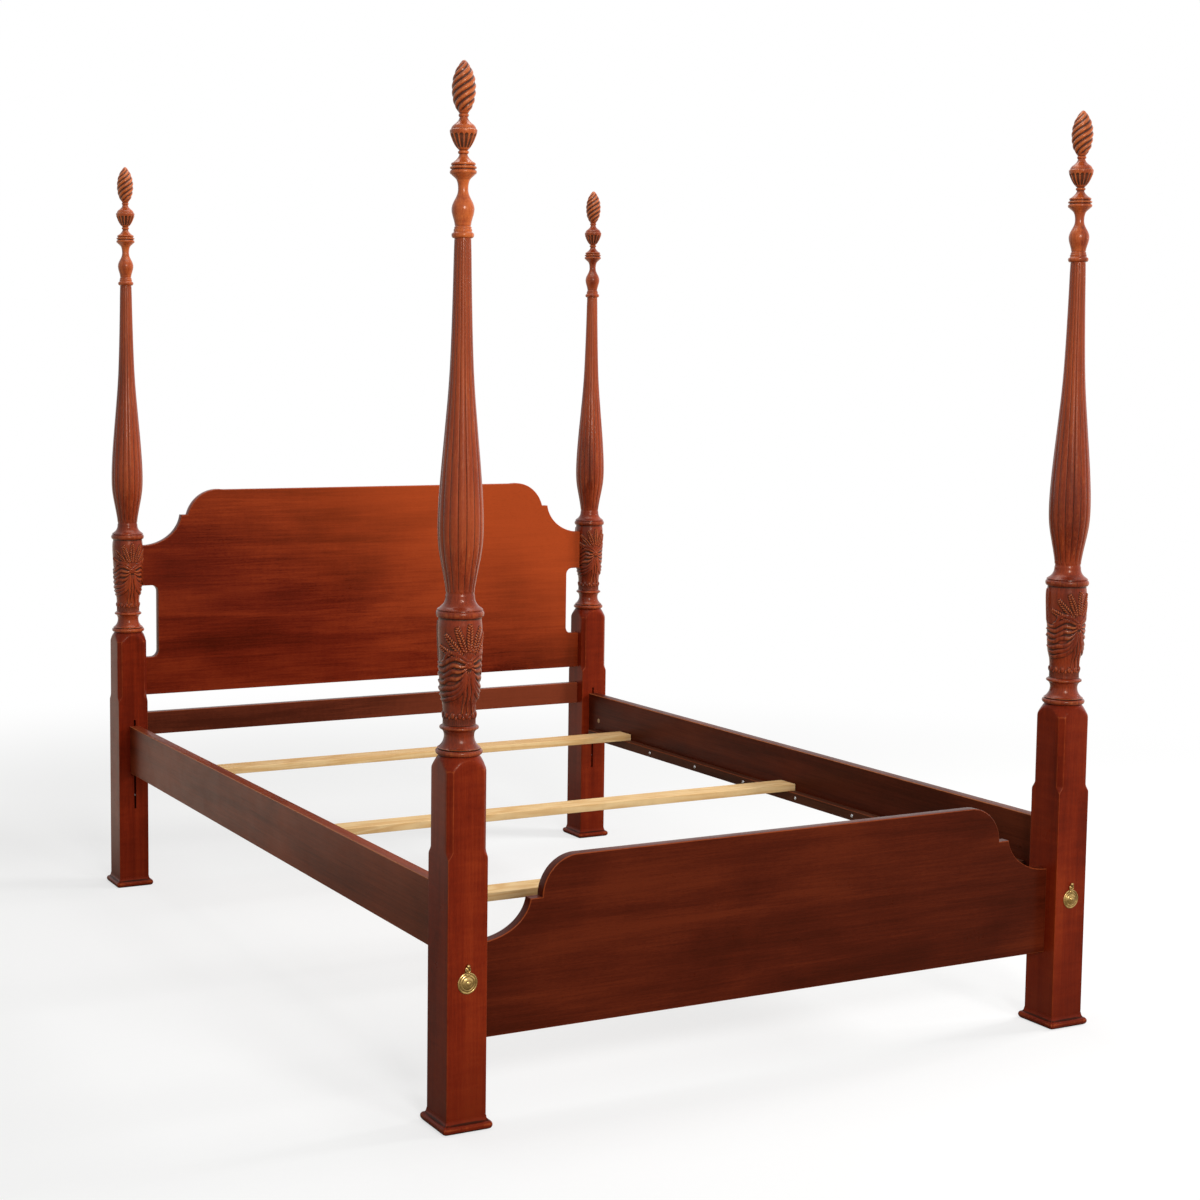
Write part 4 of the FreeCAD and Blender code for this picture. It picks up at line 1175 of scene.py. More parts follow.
    def finial(self) -> Piece:
        """The finial: flutes hollow the urn, and reeds wind up the tip at a steady turn.

        A flute's depth is 1 less a power of the distance from its middle, and it ends in a round
        tongue at the top. A winding reed is part circle and part cosine across, and the tip is a
        little thicker than its profile, to make up for the wood between the reeds.

        Returns:
            The piece.
        """
        line = self.finial_profile()
        z, base = line[:, 1], line[:, :1]
        thicker = rising(z[:, None], self.tip_foot + 1, 8.0) * falling(z[:, None], self.tip_top + 1, 12.0)
        base = base * (1 + self.tip_swell * thicker)
        angle = np.linspace(0, 2 * math.pi, 180, endpoint=False)
        radius = np.broadcast_to(base, (len(z), len(angle))).copy()
        zz = np.broadcast_to(z[:, None], radius.shape)
        flute = ((angle * self.flutes / (2 * math.pi)) % 1.0 - 0.5) * 2
        top = self.flute_top - self.flute_tongue * np.abs(flute)[None] ** 2.5
        reach = falling(zz, top, 2.0) * rising(zz, self.flute_foot, 4.0)
        hollow = np.clip(1 - np.abs(flute)[None] ** 2.6, 0, 1)
        radius -= self.flute_depth * np.clip(base / self.flute_depth_radius, 0.3, 1) * hollow * reach
        wound = angle[None] - math.radians(self.tip_turn) * (zz - (self.tip_foot - 1)) / 100.0
        reed = ((wound * self.tip_reeds / (2 * math.pi)) % 1.0 - 0.5) * 2
        arc = 0.55 * (1 - np.sqrt(np.clip(1 - reed**2 * 0.96, 0, 1))) + 0.225 * (1 - np.cos(math.pi * reed))
        spiral = rising(zz, self.tip_foot, 5.0) * falling(zz, self.tip_top, 8.0)
        radius -= self.tip_depth * np.clip(base / self.tip_depth_radius, 0.25, 1) * arc * spiral
        # Painted shade: the flutes darken, most of all low on the urn.
        shade = 0.75 * hollow * reach * np.clip((1984 - zz) / 34, 0.3, 1)
        # Painted shade in the tip's grooves, painted highlight on its crests.
        groove = np.clip(arc * 1.2 - 0.2, 0, 0.42) * spiral
        crest = 0.75 * np.clip(1 - arc * 4.0, 0, 1) * spiral
        # The wide hollows paint shade into the necks and highlight onto the bulges; the near ones add glaze
        # and shade in small hollows.
        near, wide = hollows(radius, 5, 0.9), hollows(radius, 28, 0.4)
        return self.turning("carved_finial", radius, z, angle,
                            np.clip(near + wide - shade - groove + crest, -1, 1))

    def plinth(self) -> Piece:
        """The square plinth: half widths up its profile, over the root of summed powers of cosine and
        sine, low powers at the plate so that its corners are round, high ones at the cove.

        The corners are rubbed; the rim of the plate gets a painted highlight, and painted shade darkens the
        foot at the floor and the ledge under the cove.

        Returns:
            The piece.
        """
        p = Profile(49.6, 0.0).bead(50.6, 16.0, 56.2, 16).line(49.6, 16.3, 1).line(49.0, 16.6, 1)
        p.flow((47.9, 17.8), (46.5, 20.4), (45.5, 23.6), (45.0, 27.0), count=5)
        line = p.points()
        turn = np.concatenate([np.linspace(0, 0.86, 4, endpoint=False), np.linspace(0.86, 1.0, 14)])
        eighth = np.arctan(turn)
        quarter = np.concatenate([-eighth[::-1][:-1], eighth[:-1]])
        angle = np.concatenate([quarter + math.pi / 2 * k for k in range(4)])
        height = line[:, 1:]
        power = self.plate_power + (self.cove_power - self.plate_power) * rising(height, self.plate_top, 10.0)
        c, s = np.abs(np.cos(angle))[None], np.abs(np.sin(angle))[None]
        radius = line[:, :1] * (c**power + s**power) ** (-1 / power)
        # Painted highlight along the plate's rim, painted shade at the floor and on the ledge under the cove.
        rim = np.exp(-(((height - 11.0) / 3.0) ** 2)) - 0.9 * (height < 4.5)
        ledge = np.exp(-(((height - 17.2) / 1.8) ** 2))
        relief = np.clip(hollows(radius, 4, 0.1) + 0.7 * rim - 0.8 * ledge, -1, 1)
        relief = np.clip(relief + 0.4 * (np.maximum(c, s) < 0.715), -1, 1)
        return self.turning("plinth", radius, line[:, 1], angle, relief)

    def make(self) -> None:
        """Build and dress the whole post."""
        label = self.corner.label
        block = label + "_post_block"
        self.square().build(self.finishes.of(POST), "frame", "post_mahogany", [block])
        self.drum().build(self.finishes.of(SHAFT), "frame", "post_mahogany", [block])
        self.shaft().build(self.finishes.of(SHAFT), "frame", "post_mahogany", [label + "_post_shaft"])
        self.collar().build(self.finishes.of(FINIAL), "frame", "finial_mahogany", [label + "_post_shaft"])
        self.finial().build(self.finishes.of(FINIAL), "frame", "finial_mahogany", [label + "_post_finial"])
        self.plinth().build(self.finishes.of(POST), "frame", "post_mahogany", [label + "_foot_plinth"])


def inward(outline: Grid, distance: float) -> Grid:
    """A closed anticlockwise outline moved inwards by a distance, with mitred corners.

    Args:
        outline: points by two.
        distance: how far in.

    Returns:
        The moved points.
    """
    ahead = np.roll(outline, -1, 0) - outline
    ahead = ahead / np.linalg.norm(ahead, axis=1, keepdims=True)
    normal = np.stack([-ahead[:, 1], ahead[:, 0]], axis=1)
    before = np.roll(normal, 1, 0)
    both = normal + before
    mitre = np.clip(1 + np.sum(normal * before, axis=1, keepdims=True), 0.35, None)
    return outline + both * (distance / mitre)


@dataclass
class Plank:
    """A board cut to an outline, with eased arrises all round.

    The run and the rise are the directions of the outline's two measures, and the rim is a flat strip inside
    the arris, so that the face beyond it shades flat. The wear and highlight is the relief on the arrises,
    which the finish lightens: rubbing and painted highlight.
    """

    name: str
    outline: Grid
    origin: tuple[float, float, float]
    run: tuple[float, float, float]
    rise: tuple[float, float, float]
    thickness: float
    ease: float = 2.0
    wear: float = 1.0
    rim: float = 0.8

    def grid(self) -> tuple[Grid, Grid]:
        """Rows round the edge: the outline is carried across the thickness, and drawn in at both
        faces along a quarter circle.

        Returns:
            The points, and their relief.
        """
        turn = np.linspace(0, math.pi / 2, 5)
        inset, sunk = self.ease * (1 - np.sin(turn)), self.ease * (1 - np.cos(turn))
        # The arrises get raised relief, which the finishes lighten: wear and painted highlight along the
        # edges.
        steps = [(self.ease + self.rim, 0.0, 0.0), *zip(inset, sunk, self.wear * np.sin(2 * turn) ** 0.5)]
        half = self.thickness / 2
        rows = [(inset, -half + deep, wear) for inset, deep, wear in steps]
        rows += [(inset, half - deep, wear) for inset, deep, wear in steps[::-1]]
        u, v = np.array(self.run), np.array(self.rise)
        w = np.cross(u, v)
        layers = []
        for inset, level, _ in rows:
            flat = inward(self.outline, inset)
            layers.append(np.array(self.origin) + flat[:, :1] * u + flat[:, 1:] * v + level * w)
        relief = np.array([wear for _, _, wear in rows])
        return np.array(layers), np.broadcast_to(relief[:, None], (len(rows), len(self.outline)))

    def piece(self) -> Piece:
        """The plank as a piece."""
        points, relief = self.grid()
        return Piece(self.name).add(points, relief=relief)


def rectangle(u0: float, u1: float, v0: float, v1: float) -> Grid:
    """An anticlockwise rectangle, with each side cut in eight so that long faces shade evenly.

    Args:
        u0: least value of the first measure.
        u1: greatest value of the first measure.
        v0: least value of the second measure.
        v1: greatest value of the second measure.

    Returns:
        The points.
    """
    corners = np.array([[u0, v0], [u1, v0], [u1, v1], [u0, v1]])
    following = np.roll(corners, -1, 0)
    t = np.linspace(0, 1, 8, endpoint=False)[None, :, None]
    return (corners[:, None] + (following - corners)[:, None] * t).reshape(-1, 2)


def arc_through(a: Grid, b: Grid, c: Grid, count: int) -> Grid:
    """Points along the circle through three points, from the first to the last.

    The centre is where the bisectors of the two chords meet; the angle runs evenly.

    Args:
        a: first point.
        b: a point between.
        c: last point.
        count: number of points.

    Returns:
        The points, both ends included.
    """
    left = 2 * np.array([b - a, c - a])
    centre = np.linalg.solve(left, np.array([b @ b - a @ a, c @ c - a @ a]))
    angles = np.unwrap([math.atan2(*(p - centre)[::-1]) for p in (a, b, c)])
    turn = np.linspace(angles[0], angles[2], count)
    reach = np.linalg.norm(a - centre)
    return centre + reach * np.stack([np.cos(turn), np.sin(turn)], axis=1)


@dataclass
class ScrolledEdge:
    """Right half of a board's top edge: level at the post, hollow cove, small ledge, round shoulder."""

    half_width: float
    joint_height: float
    cove_width: float
    cove_rise: float
    ledge: float
    shoulder_width: float
    shoulder_rise: float
    cove_turn: float = 0.93 * math.pi / 2

    def points(self) -> Grid:
        """The edge from the post to the start of the straight top.

        The cove is an ellipse: its place is width times the sine of the turn, its height is rise
        times 1 less the cosine. The shoulder is a circle's arc.

        Returns:
            The points, from the post inwards.
        """
        turn = np.linspace(0, self.cove_turn, 24)
        width = self.cove_width / math.sin(self.cove_turn)
        rise = self.cove_rise / (1 - math.cos(self.cove_turn))
        across = self.half_width - width * np.sin(turn)
        cove = np.stack([across, self.joint_height + rise * (1 - np.cos(turn))], axis=1)
        step = cove[-1] - np.array([self.ledge, 0.0])
        slant = math.sqrt(0.5)
        top = step + np.array([-self.shoulder_width, self.shoulder_rise])
        crown = np.array([top[0] + self.shoulder_width * slant, step[1] + self.shoulder_rise * slant])
        return np.vstack([cove, arc_through(step, crown, top, 26)])


def mirrored_outline(right: Grid) -> Grid:
    """A closed anticlockwise outline from its right half, listed from the foot up to the top."""
    return np.vstack([right, right[::-1] * np.array([-1.0, 1.0])])


@dataclass
class Boards:
    """Headboard, head stretcher and footboard.

    The boards' ends go into the posts by the overlaps. The cuts divide long straight edges, so that
    the faces shade evenly. The slots are the gaps beside the head posts, with round inner corners
    whose bend is how far the middle of a quarter circle stands in from the corner's two sides.
    """

    finishes: Finishes
    post_x: float = 790.0
    post_y: float = 1065.0
    half: float = 44.5
    drum: float = 46.6
    thickness: float = 25.0
    ease: float = 2.6
    end_overlap: float = 0.6
    cuts: tuple[float, float] = (250.0, 500.0)
    footboard_foot: float = 174.0
    footboard_cut: float = 270.0
    footboard_joint: float = 372.0
    headboard_foot: float = 566.0
    headboard_joint: float = 1011.0
    slot_foot: float = 678.0
    slot_top: float = 892.0
    slot_width: float = 46.0
    slot_corner: float = 20.0
    slot_bend: float = 5.86
    arm_overlap: float = 5.0
    stretcher_foot: float = 446.0
    stretcher_top: float = 513.0
    stretcher_overlap: float = 0.4
    stretcher_ease: float = 2.2

    def panel(self, name: str, outline: Grid, y: float, ease: float) -> Piece:
        """A board that stands across the bed at y, from its outline as X and height."""
        return Plank(name, outline, (0, y, 0), (1, 0, 0), (0, 0, 1), self.thickness, ease=ease).piece()

    def footboard(self) -> Piece:
        """Low board whose ends stand against the posts.

        Returns:
            The piece.
        """
        near, far = self.cuts
        edge = self.post_x - self.half + self.end_overlap
        foot = self.footboard_foot
        top = ScrolledEdge(edge, self.footboard_joint, cove_width=117.0, cove_rise=77.0, ledge=28.0,
                           shoulder_width=84.0, shoulder_rise=83.0).points()
        right = np.vstack([[(near, foot), (far, foot), (edge, foot), (edge, self.footboard_cut)],
                           top, [(near, top[-1, 1])]])
        return self.panel("footboard_panel", mirrored_outline(right), -self.post_y, self.ease)

    def headboard(self) -> Piece:
        """Tall board, let into the drums above the slots and against the squares below them.

        Returns:
            The piece.
        """
        near, far = self.cuts
        edge = self.post_x - self.half + self.end_overlap
        arm = self.post_x - self.drum + self.arm_overlap
        inner = self.post_x - self.half - self.slot_width
        foot, roof = self.slot_foot, self.slot_top
        corner, bend = self.slot_corner, self.slot_bend
        low = arc_through(np.array([inner + corner, foot]), np.array([inner + bend, foot + bend]),
                          np.array([inner, foot + corner]), 9)
        high = arc_through(np.array([inner, roof - corner]), np.array([inner + bend, roof - bend]),
                           np.array([inner + corner, roof]), 9)
        top = ScrolledEdge(self.post_x - self.half, self.headboard_joint, cove_width=120.0, cove_rise=88.0,
                           ledge=20.0, shoulder_width=113.0, shoulder_rise=73.0).points()
        right = np.vstack([
            [(x, self.headboard_foot) for x in (near, far, edge)], [(edge, foot)], low, high,
            [(arm, roof), (arm, self.headboard_joint)], top, [(near, top[-1, 1])],
        ])
        return self.panel("headboard_panel", mirrored_outline(right), self.post_y, self.ease)

    def stretcher(self) -> Piece:
        """Plain rail under the headboard.

        Returns:
            The piece.
        """
        edge = self.post_x - self.half + self.stretcher_overlap
        outline = rectangle(-edge, edge, self.stretcher_foot, self.stretcher_top)
        return self.panel("head_stretcher_rail", outline, self.post_y, self.stretcher_ease)

    def make(self) -> None:
        """Build and dress the boards."""
        boards = ((self.footboard(), FOOTBOARD, "footboard"), (self.headboard(), HEADBOARD, "headboard"),
                  (self.stretcher(), STRETCHER, "head_stretcher"))
        for piece, finish, node in boards:
            piece.build(self.finishes.of(finish), "frame", "board_mahogany", [node], sharp=30.0)


def side_word(side: int) -> str:
    """The word for a side of the bed: left for -1, right for 1."""
    return "left" if side < 0 else "right"


@dataclass
class Rails:
    """Side rails with their cleats, cleat screws and plugs.

    A side is -1 for the left of the bed and 1 for the right.
    """

    finishes: Finishes
    inner: float = 771.0
    thickness: float = 30.0
    half_length: float = 1020.5
    foot: float = 340.0
    height: float = 140.0
    cleat_width: float = 25.0
    cleat_height: float = 27.0
    cleat_gap: float = 40.0
    screw_count: int = 8
    plug_distance: float = 62.0
    plug_height: float = 58.0
    plug_radius: float = 7.0
    plug_lift: float = 0.6
    screw_radius: float = 4.5
    screw_lift: float = 2.3
    screw_slot: float = 0.7
    rail_ease: float = 2.6
    cleat_ease: float = 1.6

    def beam(self, name: str, middle: float, outline: Grid, thickness: float, ease: float) -> Piece:
        """A straight length of wood along the bed, from its outline as Y and height."""
        return Plank(name, outline, (middle, 0, 0), (0, 1, 0), (0, 0, 1), thickness, ease=ease).piece()

    def rail(self, side: int) -> Piece:
        """One side rail.

        Args:
            side: the side of the bed.

        Returns:
            The piece.
        """
        middle = side * (self.inner + self.thickness / 2)
        outline = rectangle(-self.half_length, self.half_length, self.foot, self.foot + self.height)
        return self.beam(side_word(side) + "_rail", middle, outline, self.thickness, self.rail_ease)

    def cleat(self, side: int) -> Piece:
        """The ledge on the inside of a rail.

        Args:
            side: the side of the bed.

        Returns:
            The piece.
        """
        middle = side * (self.inner - self.cleat_width / 2)
        reach = self.half_length - self.cleat_gap
        outline = rectangle(-reach, reach, self.foot, self.foot + self.cleat_height)
        return self.beam(side_word(side) + "_ledge", middle, outline, self.cleat_width, self.cleat_ease)

    def button(self, piece: Piece, x: float, y: float, z: float, side: int, radius: float, lift: float,
               slot: float) -> None:
        """Add a low dome that faces the middle of the bed: a short upright rim, then a rise that
        flattens towards its middle, both as shares of its radius and height. A slot cuts across it.

        Args:
            piece: the piece that it is added to.
            x: place of its foot.
            y: place of its middle.
            z: height of its middle.
            side: the side of the bed that it is on.
            radius: its radius.
            lift: its height.
            slot: half width of the slot, or 0.
        """
        share = np.array([1.0, 1.0, 0.94, 0.8, 0.6, 0.4, 0.2, 0.02])
        rise = np.array([-1.5, 0.35, 0.55, 0.75, 0.88, 0.95, 0.99, 1.0]) * lift
        turn = np.linspace(0, 2 * math.pi, 20, endpoint=False) * -side
        a = radius * share[:, None] * np.cos(turn)
        b = radius * share[:, None] * np.sin(turn)
        cut = (np.abs(b) < slot) & (share[:, None] < 0.9)
        out = np.broadcast_to(rise[:, None], a.shape) - cut * lift * 0.5
        points = np.stack([x - side * out, y + a, z + b], axis=-1)
        piece.add(points, relief=np.where(cut, -1.0, 0.2))

    def screws(self) -> Piece:
        """Heads of the cleat screws, spaced evenly along each cleat.

        Returns:
            The piece.
        """
        piece = Piece("cleat_screw_heads")
        reach = self.half_length - self.cleat_gap
        pitch = 2 * reach / self.screw_count
        for side in (-1, 1):
            for i in range(self.screw_count):
                x, y = side * (self.inner - self.cleat_width), -reach + pitch * (i + 0.5)
                self.button(piece, x, y, self.foot + self.cleat_height / 2, side, self.screw_radius,
                            self.screw_lift, self.screw_slot)
        return piece

    def plugs(self, name: str, end: int) -> Piece:
        """Faces of the wooden plugs at one end of the bed.

        Args:
            name: what the piece is called.
            end: 1 at the head, -1 at the foot.

        Returns:
            The piece.
        """
        piece = Piece(name)
        for side in (-1, 1):
            y = end * (self.half_length - self.plug_distance)
            self.button(piece, side * self.inner, y, self.foot + self.plug_height, side, self.plug_radius,
                        self.plug_lift, 0.0)
        return piece

    def make(self) -> None:
        """Build and dress the rails and what is on them."""
        for side in (-1, 1):
            label = side_word(side)
            finish = self.finishes.of(LEFT_RAIL if side < 0 else SHADED_RIGHT_RAIL)
            self.rail(side).build(finish, "frame", "rail_mahogany", [label + "_side_rail"], sharp=30.0)
            hardwood = self.finishes.of(CLEAT)
            self.cleat(side).build(hardwood, "frame", "cleat_hardwood", [label + "_cleat"], sharp=30.0)
        self.screws().build(self.finishes.of(STEEL), "frame", "zinc_steel", ["cleat_screws"])
        # The foot plugs take the right rail's darker finish, with its painted shade.
        birch, stained = self.finishes.of(BIRCH), self.finishes.of(SHADED_RIGHT_RAIL)
        self.plugs("head_plug_faces", 1).build(birch, "frame", "birch_dowel", ["rail_plugs"])
        self.plugs("foot_plug_faces", -1).build(stained, "frame", "rail_mahogany", ["rail_plugs"])


@dataclass
class Slats:
    """Loose pine slats on the cleats."""

    finishes: Finishes
    half_length: float = 768.0
    width: float = 64.0
    thickness: float = 19.0
    foot: float = 367.0
    ease: float = 1.2
    # Lighter slat edges: wear and painted highlight.
    wear: float = 0.6
    places: tuple[tuple[str, float], ...] = (
        ("head_slat", 789.867), ("middle_slat", -60.005), ("foot_slat", -757.007),
    )

    def make(self) -> None:
        """Build and dress the slats."""
        half = self.width / 2
        level = self.foot + self.thickness / 2
        for node, y in self.places:
            outline = rectangle(-self.half_length, self.half_length, y - half, y + half)
            plank = Plank(node + "_board", outline, (0, 0, level), (1, 0, 0), (0, 1, 0), self.thickness,
                          self.ease, self.wear)
            plank.piece().build(self.finishes.of(PINE), node + "_body", "slat_pine", [node], sharp=30.0)


@dataclass
class BoltCover:
    """Brass cover that hangs over the bolt hole: ringed round plate, stem, eye and ball.

    Out is the distance from the post's face towards the foot end. The eye's section is an ellipse.
    """

    side: int
    finishes: Finishes
    post_x: float = 790.0
    face: float = -1109.5
    gap: float = 0.3
    pivot: float = 330.0
    middle: float = 303.0
    plate_columns: int = 72
    eye_radius: float = 5.0
    eye_half: tuple[float, float] = (1.9, 1.8)
    eye_out: float = 2.1
    ball_radius: float = 4.2
    ball_height: float = 7.9
    ball_out: float = 3.2
    small_columns: int = 20
    stem_flatness: float = 0.45
    stem_out: float = 1.9
    pin_out: float = 0.2
    pin_columns: int = 28

    @property
    def x(self) -> float:
        """Place of the pin along X."""
        return self.side * self.post_x

    def lathe(self, line: Grid, z: float, cols: int) -> Grid:
        """Points round an axis that faces the foot end.

        Args:
            line: rows of radius and out.
            z: height of the axis.
            cols: points in a row.

        Returns:
            Rows by columns by three.
        """
        turn = np.linspace(0, 2 * math.pi, cols, endpoint=False)
        a = line[:, :1] * np.cos(turn)
        b = line[:, :1] * np.sin(turn)
        y = np.broadcast_to(self.face - self.gap - line[:, 1:], a.shape)
        return np.stack([self.x + a, y, z + b], axis=-1)

    def upright(self, line: Grid, y: float) -> Grid:
        """Points of a small turning round an upright axis, from rows of radius and height."""
        turn = np.linspace(0, 2 * math.pi, self.small_columns, endpoint=False)
        return turned(np.repeat(line[:, :1], len(turn), 1), line[:, 1], turn, self.x, y)

    def plate(self) -> tuple[Grid, Grid]:
        """The plate: rings and hollows, up to a knob in the middle.

        Returns:
            The points, and their relief.
        """
        p = Profile(21.0, 0.0).line(21.8, 0.3, 1).bead(20.0, 2.4, 22.0, 7).line(18.4, 1.6, 2)
        p.line(17.4, 1.6, 1).bead(14.6, 3.3, 16.8, 7).line(13.2, 2.7, 2).line(12.6, 2.7, 1)
        p.flow((11.4, 3.7), (9.2, 4.7), (6.8, 5.2)).line(5.2, 5.0, 2).bead(0.2, 7.6, 4.0, 9)
        line = p.points()
        points = self.lathe(line, self.middle, self.plate_columns)
        return points, hollows(np.broadcast_to(line[:, 1:], points.shape[:2]), 4, 2.2)

    def eye(self) -> Grid:
        """The eye on the pin: a ring, whose section is carried round the pivot from row to row.

        Returns:
            Rows by columns by three.
        """
        section = np.linspace(0, 2 * math.pi, 12, endpoint=False)
        turn = np.linspace(0, 2 * math.pi, 37)
        wide = self.eye_radius + self.eye_half[0] * np.cos(section)[None]
        out = self.eye_out + self.eye_half[1] * np.sin(section)[None]
        y = self.face - self.gap - np.broadcast_to(out, (len(turn), len(section)))
        ring = [self.x + wide * np.sin(turn)[:, None], y, self.pivot + wide * np.cos(turn)[:, None]]
        return np.stack(ring, axis=-1)[:, ::-1]

    def ball(self) -> Grid:
        """The ball over the eye.

        Returns:
            Rows by columns by three.
        """
        line = Profile(0.2, -self.ball_radius).bead(0.2, self.ball_radius, self.ball_radius, 12).points()
        line = line + np.array([0.0, self.pivot + self.ball_height])
        return self.upright(line, self.face - self.gap - self.ball_out)

    def stem(self) -> Grid:
        """The stem from the plate to the eye: a flattened turning, cut off at the post's face.

        Returns:
            Rows by columns by three.
        """
        low = Profile(5.6, self.middle + 15.0).flow((5.4, self.middle + 17.6), (4.2, self.middle + 20.4),
                                                    (4.4, self.pivot - 4.8))
        points = self.upright(low.points(), self.face)
        flat = (points[..., 1] - self.face) * self.stem_flatness + self.face - self.stem_out
        points[..., 1] = np.clip(flat, None, self.face - self.gap)
        return points

    def pin(self) -> Piece:
        """The pin with its round head.

        Returns:
            The piece.
        """
        line = Profile(1.5, -9.0).line(1.5, 2.0, 2).line(2.6, 2.1, 1).bead(0.2, 3.4, 2.2, 9).points()
        line = line + np.array([0.0, self.pin_out])
        return Piece(side_word(self.side) + "_pin_head").add(self.lathe(line, self.pivot, self.pin_columns))

    def make(self) -> None:
        """Build and dress the cover and its pin."""
        label = side_word(self.side)
        brass = self.finishes.of(BRASS)
        points, relief = self.plate()
        cover = Piece(label + "_cover_plate").add(points, relief=relief).add(self.eye(), caps=False)
        cover.add(self.ball()).add(self.stem())
        cover.build(brass, label + "_cover", "cover_brass", [label + "_bolt_cover"], sharp=50.0)
        self.pin().build(brass, "frame", "cover_brass", [label + "_cover_pin"])


def dress_hidden_nodes(finishes: Finishes) -> None:
    """Give the finishes of the joinery and ironwork to the nodes that stay as they are.

    Args:
        finishes: where the materials come from.
    """
    for name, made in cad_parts.items():
        if made.hide_render:
            continue
        finish = BIRCH if "dowel" in name else STEEL
        material = finishes.of(finish)
        if made.material_slots:
            for entry in made.material_slots:
                entry.material = material
        else:
            made.data.materials.append(material)
        LOG.info("%s keeps its shape, finish %s", name, finish.name)


@dataclass(frozen=True)
class Lamp:
    """A soft square lamp that faces a point; the power is in watts, and glossy surfaces show the
    lamp if it is mirrored."""

    name: str
    place: tuple[float, float, float]
    aim: tuple[float, float, float]
    side: float
    power: float
    mirrored: bool = True

    def make(self) -> None:
        """Stand the lamp in its place and turn it to its point."""
        data = bpy.data.lights.new(self.name, "AREA")
        data.shape = "RECTANGLE"
        data.size, data.size_y = self.side, self.side
        data.energy = self.power
        made = bpy.data.objects.new(self.name, data)
        bpy.context.scene.collection.objects.link(made)
        made.visible_glossy = self.mirrored
        made.location = self.place
        made.rotation_mode = "QUATERNION"
        made.rotation_quaternion = (Vector(self.aim) - Vector(self.place)).to_track_quat("-Z", "Y")


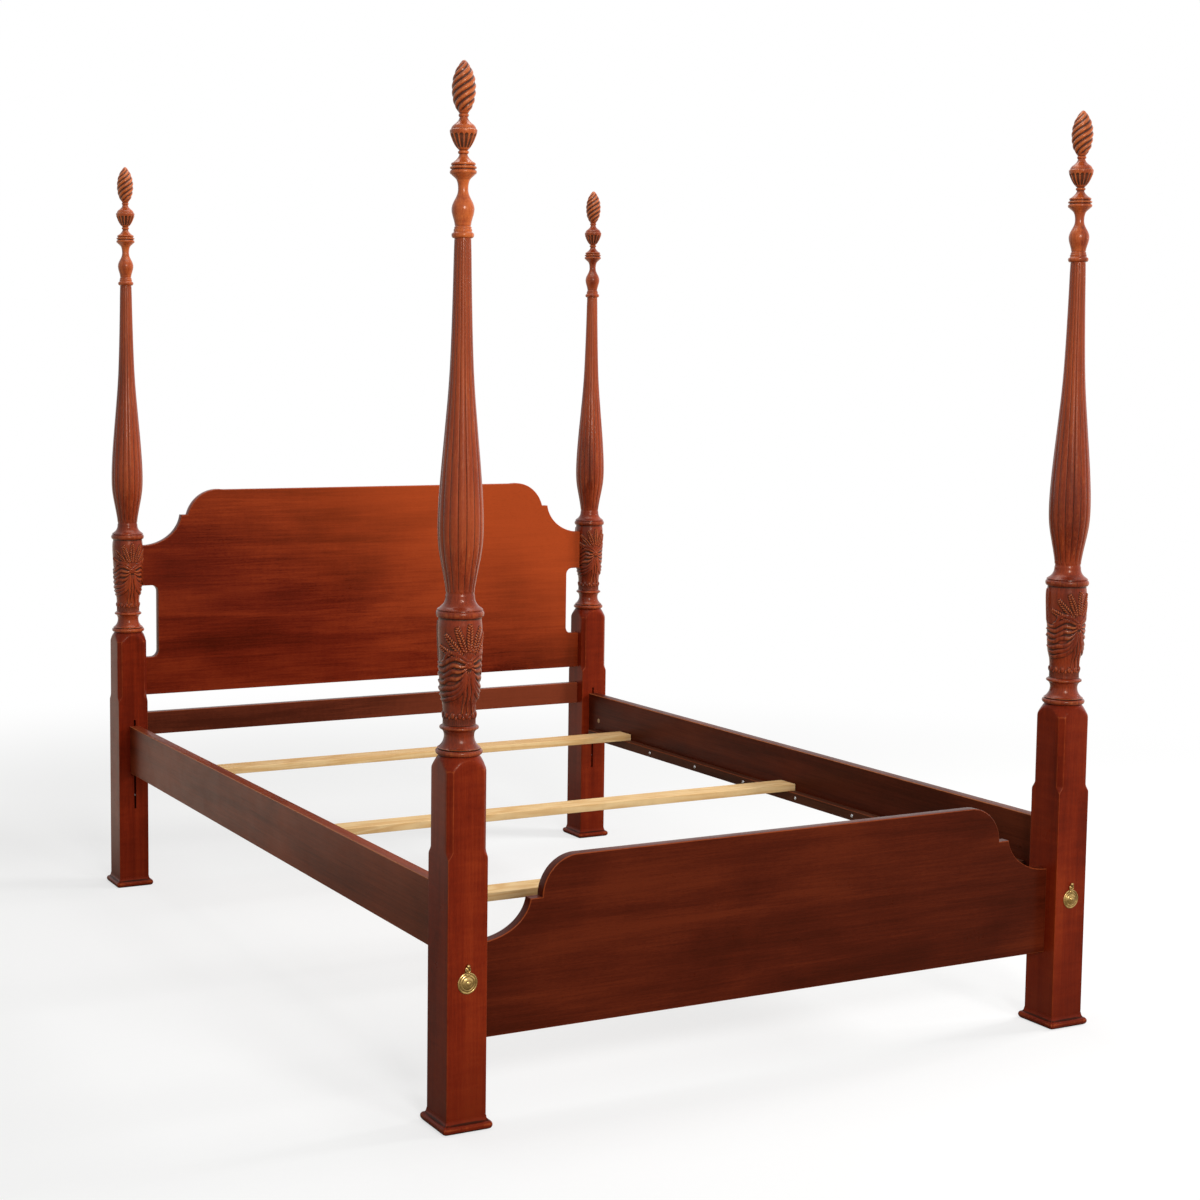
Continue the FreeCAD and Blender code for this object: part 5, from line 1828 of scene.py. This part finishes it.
@dataclass
class Studio:
    """Floor, soft light and the camera at the photograph's place.

    The middles are the pixel that the camera looks straight at, the angles are in degrees, and the
    other places are in metres.
    """

    camera_place: tuple[float, float, float] = (-2.581, -4.5185, 1.4895)
    yaw: float = 25.0455
    pitch: float = 4.9903
    roll: float = 0.229
    focal_pixels: float = 1979.2
    image_width: float = 1200.0
    middle_x: float = 378.9
    middle_y: float = 556.7
    sensor: float = 36.0
    reach: float = 100.0
    sky: float = 0.2
    floor_half: float = 30.0
    floor_level: float = -0.0005
    patch_middle: tuple[float, float, float] = (0.6, -1.6, 0.0)
    lamps: tuple[Lamp, ...] = (
        Lamp("key", (-1.5, -6.0, 3.2), (0.0, 0.0, 0.9), 1.5, 155.0),
        Lamp("fill", (1.0, -6.2, 3.0), (0.0, 0.0, 0.9), 1.2, 95.0, mirrored=False),
        Lamp("side", (4.6, -1.05, 2.6), (0.0, 0.2, 0.9), 1.4, 185.0, mirrored=False),
        Lamp("top", (0.0, 0.2, 4.6), (0.0, 0.0, 0.6), 3.0, 75.0),
    )

    def camera(self) -> None:
        """Set up the camera: looks along its yaw and pitch, rolled a little, with a shifted frame."""
        data = bpy.data.cameras.new("view")
        data.sensor_width = self.sensor
        data.lens = self.focal_pixels * self.sensor / self.image_width
        data.shift_x = (self.image_width / 2 - self.middle_x) / self.image_width
        data.shift_y = (self.middle_y - self.image_width / 2) / self.image_width
        data.clip_end = self.reach
        made = bpy.data.objects.new("view", data)
        bpy.context.scene.collection.objects.link(made)
        yaw, pitch, roll = (math.radians(v) for v in (self.yaw, self.pitch, self.roll))
        level = math.cos(pitch)
        ahead = Vector((math.sin(yaw) * level, math.cos(yaw) * level, -math.sin(pitch)))
        right = Vector((math.cos(yaw), -math.sin(yaw), 0.0))
        up = right.cross(ahead)
        tilted_right = right * math.cos(roll) + up * math.sin(roll)
        tilted_up = up * math.cos(roll) - right * math.sin(roll)
        made.matrix_world = Matrix((
            (tilted_right.x, tilted_up.x, -ahead.x, self.camera_place[0]),
            (tilted_right.y, tilted_up.y, -ahead.y, self.camera_place[1]),
            (tilted_right.z, tilted_up.z, -ahead.z, self.camera_place[2]),
            (0.0, 0.0, 0.0, 1.0),
        ))
        bpy.context.scene.camera = made

    def world(self) -> None:
        """Plain grey light all round; the camera, and what mirrors or lets light through, sees white."""
        world = bpy.data.worlds.new("studio")
        bpy.context.scene.world = world
        s = Shader(world)
        seen, mirrored, through = s.rays()
        plain = s.node("ShaderNodeBackground", {}, {"Color": (self.sky, self.sky, self.sky * 0.95)})
        white = s.node("ShaderNodeBackground", {}, {"Color": (1.0, 1.0, 1.0)})
        share = (seen + mirrored + through).clamped()
        shown = s.node("ShaderNodeMixShader", {}, {0: share, 1: plain, 2: white})
        s.node("ShaderNodeOutputWorld", {}, {"Surface": shown})

    def floor(self) -> None:
        """A wide pale floor that keeps the shadow and fades into the white background: for the camera
        by the distance from the bed, and for mirrors by that from the patch of floor they see."""
        s = Shader(bpy.data.materials.new("floor_paper"))
        far = s.node("ShaderNodeVectorMath", {"operation": "LENGTH"}, {0: s.place()}, "Value")
        between = {0: s.place(), 1: self.patch_middle}
        beyond = s.node("ShaderNodeVectorMath", {"operation": "DISTANCE"}, between, "Value")
        tooth = s.noise(s.mapped(Grain.ALONG_Z, (60.0, 60.0, 60.0)), detail=4.0, rough=0.6)
        seen, mirrored, through = s.rays()
        paper = s.blend(tooth, (0.88, 0.88, 0.875), (0.92, 0.92, 0.915))
        plain = s.node("ShaderNodeBsdfDiffuse", {}, {"Color": s.blend(seen, (0.37, 0.345, 0.285), paper)})
        tint = s.blend(seen, (1.0, 0.86, 0.72), (1.0, 1.0, 1.0))
        glow = s.node("ShaderNodeEmission", {}, {"Color": tint, "Strength": 1.0})
        share = seen * (far.step(2.0, 4.5) * 0.36 + 0.64)
        share = share + (mirrored + through).clamped() * beyond.step(2.9, 4.0)
        shown = s.node("ShaderNodeMixShader", {}, {0: share.clamped(), 1: plain, 2: glow})
        s.node("ShaderNodeOutputMaterial", {}, {"Surface": shown})
        mesh = bpy.data.meshes.new("floor")
        size, level = self.floor_half, self.floor_level
        corners = [(-size, -size, level), (size, -size, level), (size, size, level), (-size, size, level)]
        mesh.from_pydata(corners, [], [[0, 1, 2, 3]])
        mesh.materials.append(s.owner)
        made = bpy.data.objects.new("floor", mesh)
        bpy.context.scene.collection.objects.link(made)

    def make(self) -> None:
        """Set the whole stage."""
        bpy.context.scene.view_settings.view_transform = "Standard"
        self.camera()
        self.world()
        for lamp in self.lamps:
            lamp.make()
        self.floor()


def main() -> None:
    """Build every sub-assembly in order."""
    logging.basicConfig(level=logging.INFO, format="%(name)s: %(message)s")
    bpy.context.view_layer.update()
    finishes = Finishes()
    carved = CarvedDrum().surface()
    for corner in Corner:
        Post(corner, finishes, carved).make()
    Boards(finishes).make()
    Rails(finishes).make()
    Slats(finishes).make()
    for side in (-1, 1):
        BoltCover(side, finishes).make()
    dress_hidden_nodes(finishes)
    Studio().make()


if __name__ == "__main__":
    main()
